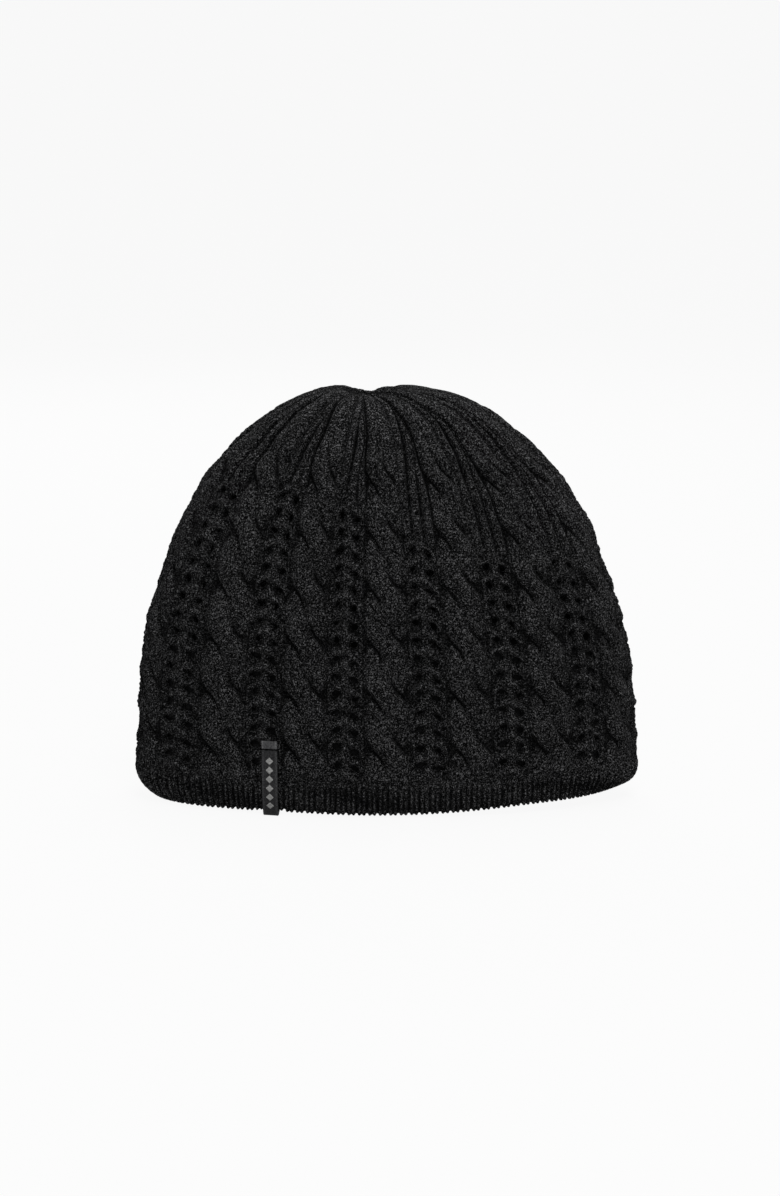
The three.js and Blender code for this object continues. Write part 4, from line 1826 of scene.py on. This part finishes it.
@dataclass(frozen=True)
class BrandTab:
    """The narrow woven tab folded under the hem, blank but for a column of woven lozenges."""

    form: Form
    middle_x: float = -55.5 * MM
    width: float = 7.4 * MM
    thickness: float = 0.8 * MM
    top: float = 38.0 * MM
    lip: float = 3.9 * MM
    inner_top: float = 9.7 * MM
    front_lift: float = 0.6 * MM
    inner_lift: float = -4.75 * MM
    columns: int = 24
    front_rows: int = 90
    back_rows: int = 24
    low_course: float = 0.6
    lozenges: int = 6

    def path(self) -> tuple[Array, Array]:
        """Course and lift of the tab's middle line from its front top round the hem to its inner end.

        Returns:
            Courses and lifts.
        """
        front = np.linspace(self.form.course_at(self.top), self.low_course, self.front_rows)
        turn = np.linspace(0.0, math.pi, 24)[1:-1]
        back = np.linspace(self.low_course, self.form.course_at(self.inner_top), self.back_rows)
        flat = np.sign(np.cos(turn)) * np.abs(np.cos(turn)) ** 0.7
        course = np.concatenate([front, self.low_course - 0.28 * np.sin(turn) ** 0.7, back])
        outer, inner = np.full(len(front), self.front_lift), np.full(len(back), self.inner_lift)
        middle, half = (self.front_lift + self.inner_lift) / 2, (self.front_lift - self.inner_lift) / 2
        lift = np.concatenate([outer, middle + half * flat, inner])
        return course, lift

    def sheet_points(self, across: Array, depth: Array, course: Array, lift: Array) -> Array:
        """Points of one face of the tape.

        Each point steps away from the middle line at right angles to it, in the plane of lift and height.

        Args:
            across: places across the tape in metres.
            depth: distances outwards from the middle line, one for each place across.
            course: courses along the tape.
            lift: lifts along the tape.

        Returns:
            along x across x 3 points.
        """
        ahead = np.stack([np.gradient(lift), np.gradient(course) * self.form.course_length])
        ahead /= np.linalg.norm(ahead, axis=0)
        turn = self.form.turn_for_x(self.middle_x + across[None, :])
        rise = course[:, None] + depth * ahead[0][:, None] / self.form.course_length
        return self.form.place(turn, rise, lift[:, None] - depth * ahead[1][:, None])

    def build(self, tape: Material, lip: Material, motif: Material) -> Object:
        """Builds the tab with its turned top and its motif.

        Args:
            tape: the tape's weave.
            lip: the paler turned top.
            motif: the pale weft of the lozenges.

        Returns:
            The piece.
        """
        course, lift = self.path()
        across = np.linspace(-0.5, 0.5, self.columns + 1) * self.width
        edge = np.clip((0.5 * self.width - np.abs(across)) / (0.5 * MM), 0, 1)
        selvedge = 0.10 * MM * bump(0.5 * self.width - 0.55 * MM, 0.3 * MM, np.abs(across))
        thick = 0.5 * self.thickness * np.sqrt(1 - (1 - edge) ** 2 * 0.9) + selvedge
        ahead = self.sheet_points(across, thick[None, :], course, lift)
        behind = self.sheet_points(across[::-1], -thick[None, ::-1], course, lift)
        around = np.concatenate([ahead, behind, ahead[:, :1]], axis=1)
        stitch = spread(np.linspace(0, 30, around.shape[1])[None, :], 0.8 * np.arange(len(course))[:, None])
        # Painted highlight along the tape's edges: the colour is at full strength there and half as bright across
        # the middle.
        rim = 0.5 + 0.5 * bump(0.5 * self.width - 0.55 * MM, 0.45 * MM, np.abs(across))
        painted_edge_highlight = np.broadcast_to(np.concatenate([rim, rim, rim[:1]]), around.shape[:2])
        shell = Patch.grid(around[::-1], (0.0, 0.0, 0.7, 1.0), stitch[::-1], tone=painted_edge_highlight, closed=True)
        ends = []
        for row, area in ((0, (0.72, 0.0, 0.84, 0.08)), (-1, (0.72, 0.10, 0.84, 0.18))):
            pair = np.stack([ahead[row], behind[row][::-1]])
            ends.append(Patch.grid(pair, area, inside_out=row == -1))
        raised = [self.lozenge(number) for number in range(self.lozenges)]
        at_lip = np.arange(len(course) - 1)[::-1] < int(self.front_rows * self.lip / self.top)
        slots = [np.repeat(at_lip.astype(int), around.shape[1] - 1)]
        slots += [np.zeros(len(end.quads)) for end in ends]
        slots += [np.full(len(patch.quads), 2) for patch in raised]
        whole = weld(join([shell, *ends, *raised]))
        piece = make_object("woven_tab", whole, [tape, lip, motif], np.concatenate(slots))
        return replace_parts(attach(piece, HAT_BODY), "brand_tab")

    def lozenge(self, number: int) -> Patch:
        """One raised woven lozenge with a notch in its middle, on the front of the tab.

        Args:
            number: its place, counted up from the hem.

        Returns:
            The patch.
        """
        u, v = np.meshgrid(np.linspace(-1, 1, 15), np.linspace(-1, 1, 15))
        wide, tall = 0.95 * MM * (u - v), 0.975 * MM * (u + v)
        course = self.form.course_at((6.3 + 4.4 * number) * MM) + tall / self.form.course_length
        square = np.maximum(np.abs(u), np.abs(v))
        rim = np.clip((1 - square) / 0.3, 0, 1)
        face = 0.5 * self.thickness - 0.02 * MM
        turn = self.form.turn_for_x(self.middle_x + wide)
        raised = (0.16 * np.sqrt(rim) - 0.14 * rim * bump(0, 0.35, square)) * MM
        top = self.form.place(turn, course, self.front_lift + face + raised)
        under = self.form.place(turn, course, self.front_lift + face - 0.1 * MM * rim)
        stitch = np.stack([wide / (0.3 * MM), tall / (0.16 * MM)], -1)
        left, low = 0.72 + 0.14 * (number % 2), 0.2 + 0.13 * (number // 2)
        shown = Patch.grid(top, (left, low, left + 0.12, low + 0.06), stitch)
        hidden = Patch.grid(under, (left, low + 0.06, left + 0.12, low + 0.11), stitch, inside_out=True)
        return join([shown, hidden])


@dataclass(frozen=True)
class CareLabel:
    """A blank folded satin label, sewn in at one edge beside the ear band's seam."""

    thickness: float = 0.24 * MM
    gap: float = 0.16 * MM
    flat: tuple[float, float] = (40.0 * MM, 40.0 * MM)
    rows: int = 60
    columns: int = 36

    def build(self, satin: Material) -> Object:
        """Builds the label as two leaves joined by a rounded fold at its free edge.

        Args:
            satin: the satin.

        Returns:
            The piece.
        """
        low, high = node_box("care_label")
        middle_y = (low[1] + high[1]) / 2
        u = np.linspace(0.0, 1.0, self.columns)
        fold = np.linspace(-0.5 * math.pi, 0.5 * math.pi, 9)[1:-1]
        leaf = 0.5 * (self.thickness + self.gap)
        line_x = np.concatenate([u, 1.0 + 0.012 * np.cos(fold), u[::-1]])
        line_y = np.concatenate([np.full(len(u), -leaf), leaf * np.sin(fold), np.full(len(u), leaf)])
        span = high[0] - low[0] - 0.3 * MM
        level = np.linspace(low[2], high[2], self.rows)
        wave = np.sin(7.0 * line_x[None, :] + 90.0 * (level[:, None] - low[2]))
        ripple = 0.12 * MM * wave * smoothstep(0.1, 0.6, line_x)[None, :]
        direction = np.stack([np.gradient(line_x * span), np.gradient(line_y)], -1)
        direction /= np.linalg.norm(direction, axis=1, keepdims=True)
        normal = np.stack([direction[:, 1], -direction[:, 0]], -1) * 0.5 * self.thickness

        def face(side: float) -> Array:
            """One face of the cloth, on the given side of its middle line."""
            x = low[0] + line_x * span + side * normal[:, 0]
            y = middle_y + line_y + side * normal[:, 1]
            return spread(x[None, :], y[None, :] + ripple, level[:, None])

        outside, inside = face(1.0), face(-1.0)
        around = np.concatenate([outside, inside[:, ::-1], outside[:, :1]], axis=1)
        stitch = spread(3.0 * np.arange(around.shape[1])[None, :], 2.0 * np.arange(self.rows)[:, None])
        shell = Patch.grid(around, (0.0, 0.0, 1.0, 0.9), stitch, closed=True)
        ends = []
        for row, area in ((0, (0.0, 0.91, 0.9, 0.945)), (-1, (0.0, 0.955, 0.9, 0.99))):
            pair = np.stack([outside[row], inside[row]])
            ends.append(Patch.grid(pair, area, inside_out=row == 0))
        piece = make_object("satin_label", weld(join([shell, *ends])), [satin])
        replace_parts(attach(piece, LABEL_BODY), "care_label")
        return piece


# --------------------------------------------------------------------------------------------------
# Floor, light and camera


@dataclass(frozen=True)
class Studio:
    """A pale floor, soft lights and the camera."""

    floor_glow: float = 0.926
    floor_bounce: float = 0.32
    floor_albedo: float = 0.045
    world_strength: float = 0.27
    camera_lens: float = 100.0
    camera_distance: float = 1.592
    camera_height_angle: float = 12.0
    target: tuple[float, float, float] = (0.001, 0.0, 0.0972)
    lights: tuple[tuple[str, tuple[float, float, float], float, float], ...] = (
        ("key", (0.18, -0.95, 1.35), 0.6, 11.4),
        ("top", (0.15, 0.30, 1.5), 0.9, 9.5),
        ("back", (-0.25, 1.25, 0.75), 0.7, 5.0),
    )

    def floor(self) -> None:
        """A wide round floor, turned up at its rim, that glows evenly and takes a faint shadow."""
        nodes = Nodes("studio_floor")
        glow = nodes.add("ShaderNodeEmission")
        glow.inputs["Color"].default_value = (1.0, 1.0, 1.0, 1.0)
        seen = nodes.add("ShaderNodeLightPath").outputs["Is Camera Ray"]
        nodes.link(nodes.ramp(seen, 0.0, 1.0, self.floor_bounce, self.floor_glow), glow.inputs["Strength"])
        matt = nodes.add("ShaderNodeBsdfDiffuse")
        matt.inputs["Color"].default_value = (self.floor_albedo, self.floor_albedo, self.floor_albedo, 1.0)
        total = nodes.add("ShaderNodeAddShader")
        output = nodes.add("ShaderNodeOutputMaterial")
        nodes.link(glow.outputs[0], total.inputs[0])
        nodes.link(matt.outputs[0], total.inputs[1])
        nodes.link(total.outputs[0], output.inputs["Surface"])
        turn = np.linspace(2 * math.pi, 0.0, 97)[None, :]
        reach = np.array([0.0, 2.0, 6.0, 7.0, 7.6, 7.9, 8.0])[:, None]
        rise = np.array([0.0, 0.0, 0.0, 0.12, 0.5, 1.2, 4.0])[:, None]
        points = spread(reach * np.cos(turn), reach * np.sin(turn), rise)
        floor = make_object("studio_floor", weld(Patch.grid(points, WHOLE_MAP)), [nodes.material])

    def light(self, name: str, place: tuple[float, float, float], size: float, power: float) -> None:
        """A square soft light aimed at the hat.

        Args:
            name: its name.
            place: where it hangs.
            size: its side.
            power: its power in watts.
        """
        data = bpy.data.lights.new(name, "AREA")
        data.shape, data.size, data.energy = "SQUARE", size, power
        lamp = bpy.data.objects.new(name, data)
        lamp.location = place
        lamp.rotation_euler = (Vector(self.target) - Vector(place)).to_track_quat("-Z", "Y").to_euler()
        bpy.context.scene.collection.objects.link(lamp)

    def build(self) -> None:
        """Sets up floor, world, lights, camera and view transform."""
        scene = bpy.context.scene
        self.floor()
        world = bpy.data.worlds.new("studio")
        world.use_nodes = True
        background = world.node_tree.nodes["Background"]
        background.inputs[0].default_value = (1.0, 1.0, 1.0, 1.0)
        background.inputs[1].default_value = self.world_strength
        scene.world = world
        for name, place, size, power in self.lights:
            self.light(name, place, size, power)
        data = bpy.data.cameras.new("camera")
        data.lens, data.sensor_width = self.camera_lens, 36.0
        camera = bpy.data.objects.new("camera", data)
        angle = math.radians(self.camera_height_angle)
        target = Vector(self.target)
        camera.location = target + Vector((0.0, -math.cos(angle), math.sin(angle))) * self.camera_distance
        camera.rotation_euler = (target - camera.location).to_track_quat("-Z", "Y").to_euler()
        data.clip_start, data.clip_end = 0.05, 60.0
        scene.collection.objects.link(camera)
        scene.camera = camera
        scene.view_settings.view_transform = "Standard"


@dataclass
class Beanie:
    """The whole hat."""

    form: Form = field(default_factory=Form)
    pattern: KnitPattern = field(default_factory=KnitPattern)

    def build(self) -> None:
        """Builds and dresses every piece."""
        yarn = HeatherYarn().material()
        fleece = FleecePile().material()
        thread = SewingThread("dark_thread").material()
        pale_thread = SewingThread("tab_thread", (0.012, 0.012, 0.012), (0.05, 0.05, 0.052)).material()
        black, near_black = (0.0006, 0.0006, 0.0006), (0.003, 0.003, 0.003)
        black_thread = SewingThread("black_thread", black, near_black, gloss=0.03).material()
        tape = WovenTape("tab_tape", (0.006, 0.006, 0.0065), (0.135, 0.135, 0.14)).material()
        lip = WovenTape("tab_lip", (0.025, 0.025, 0.027), (0.30, 0.30, 0.305)).material()
        motif = WovenTape("tab_motif", (0.25, 0.25, 0.245), (0.62, 0.62, 0.61)).material()
        satin = WovenTape("label_satin", (0.50, 0.49, 0.47), (0.72, 0.71, 0.69), 0.35, 0.2, 0.5).material()
        KnitShell(self.form, self.pattern).build(yarn)
        RibHem(self.form, self.pattern).build(yarn)
        work = ThreadWork(self.form, self.pattern)
        work.seam(yarn)
        work.gather(yarn)
        work.knot(yarn)
        work.band_overlock(thread)
        work.band_hem_stitches(thread)
        for side in Side:
            work.tack(side, thread)
        band = EarBand(self.form)
        band.build(fleece)
        band.seam(fleece)
        tab = BrandTab(self.form)
        tab.build(tape, lip, motif)
        work.tab_stitches(black_thread, tab.middle_x, tab.top - tab.lip, tab.front_lift + 0.5 * tab.thickness)
        work.cross_stitches("tab_inside_stitches", "brand_tab_inside_stitching", pale_thread, upright=False)
        CareLabel().build(satin)
        work.cross_stitches("label_stitches", "care_label_stitching", thread, upright=True)


def main() -> None:
    """Builds the hat and the studio."""
    logging.basicConfig(level=logging.INFO)
    Beanie().build()
    Studio().build()


def plain(value: object) -> list:
    """Nested plain lists of numbers from vectors and arrays."""
    return np.asarray(value, float).tolist()


if __name__ == "__main__":
    main()
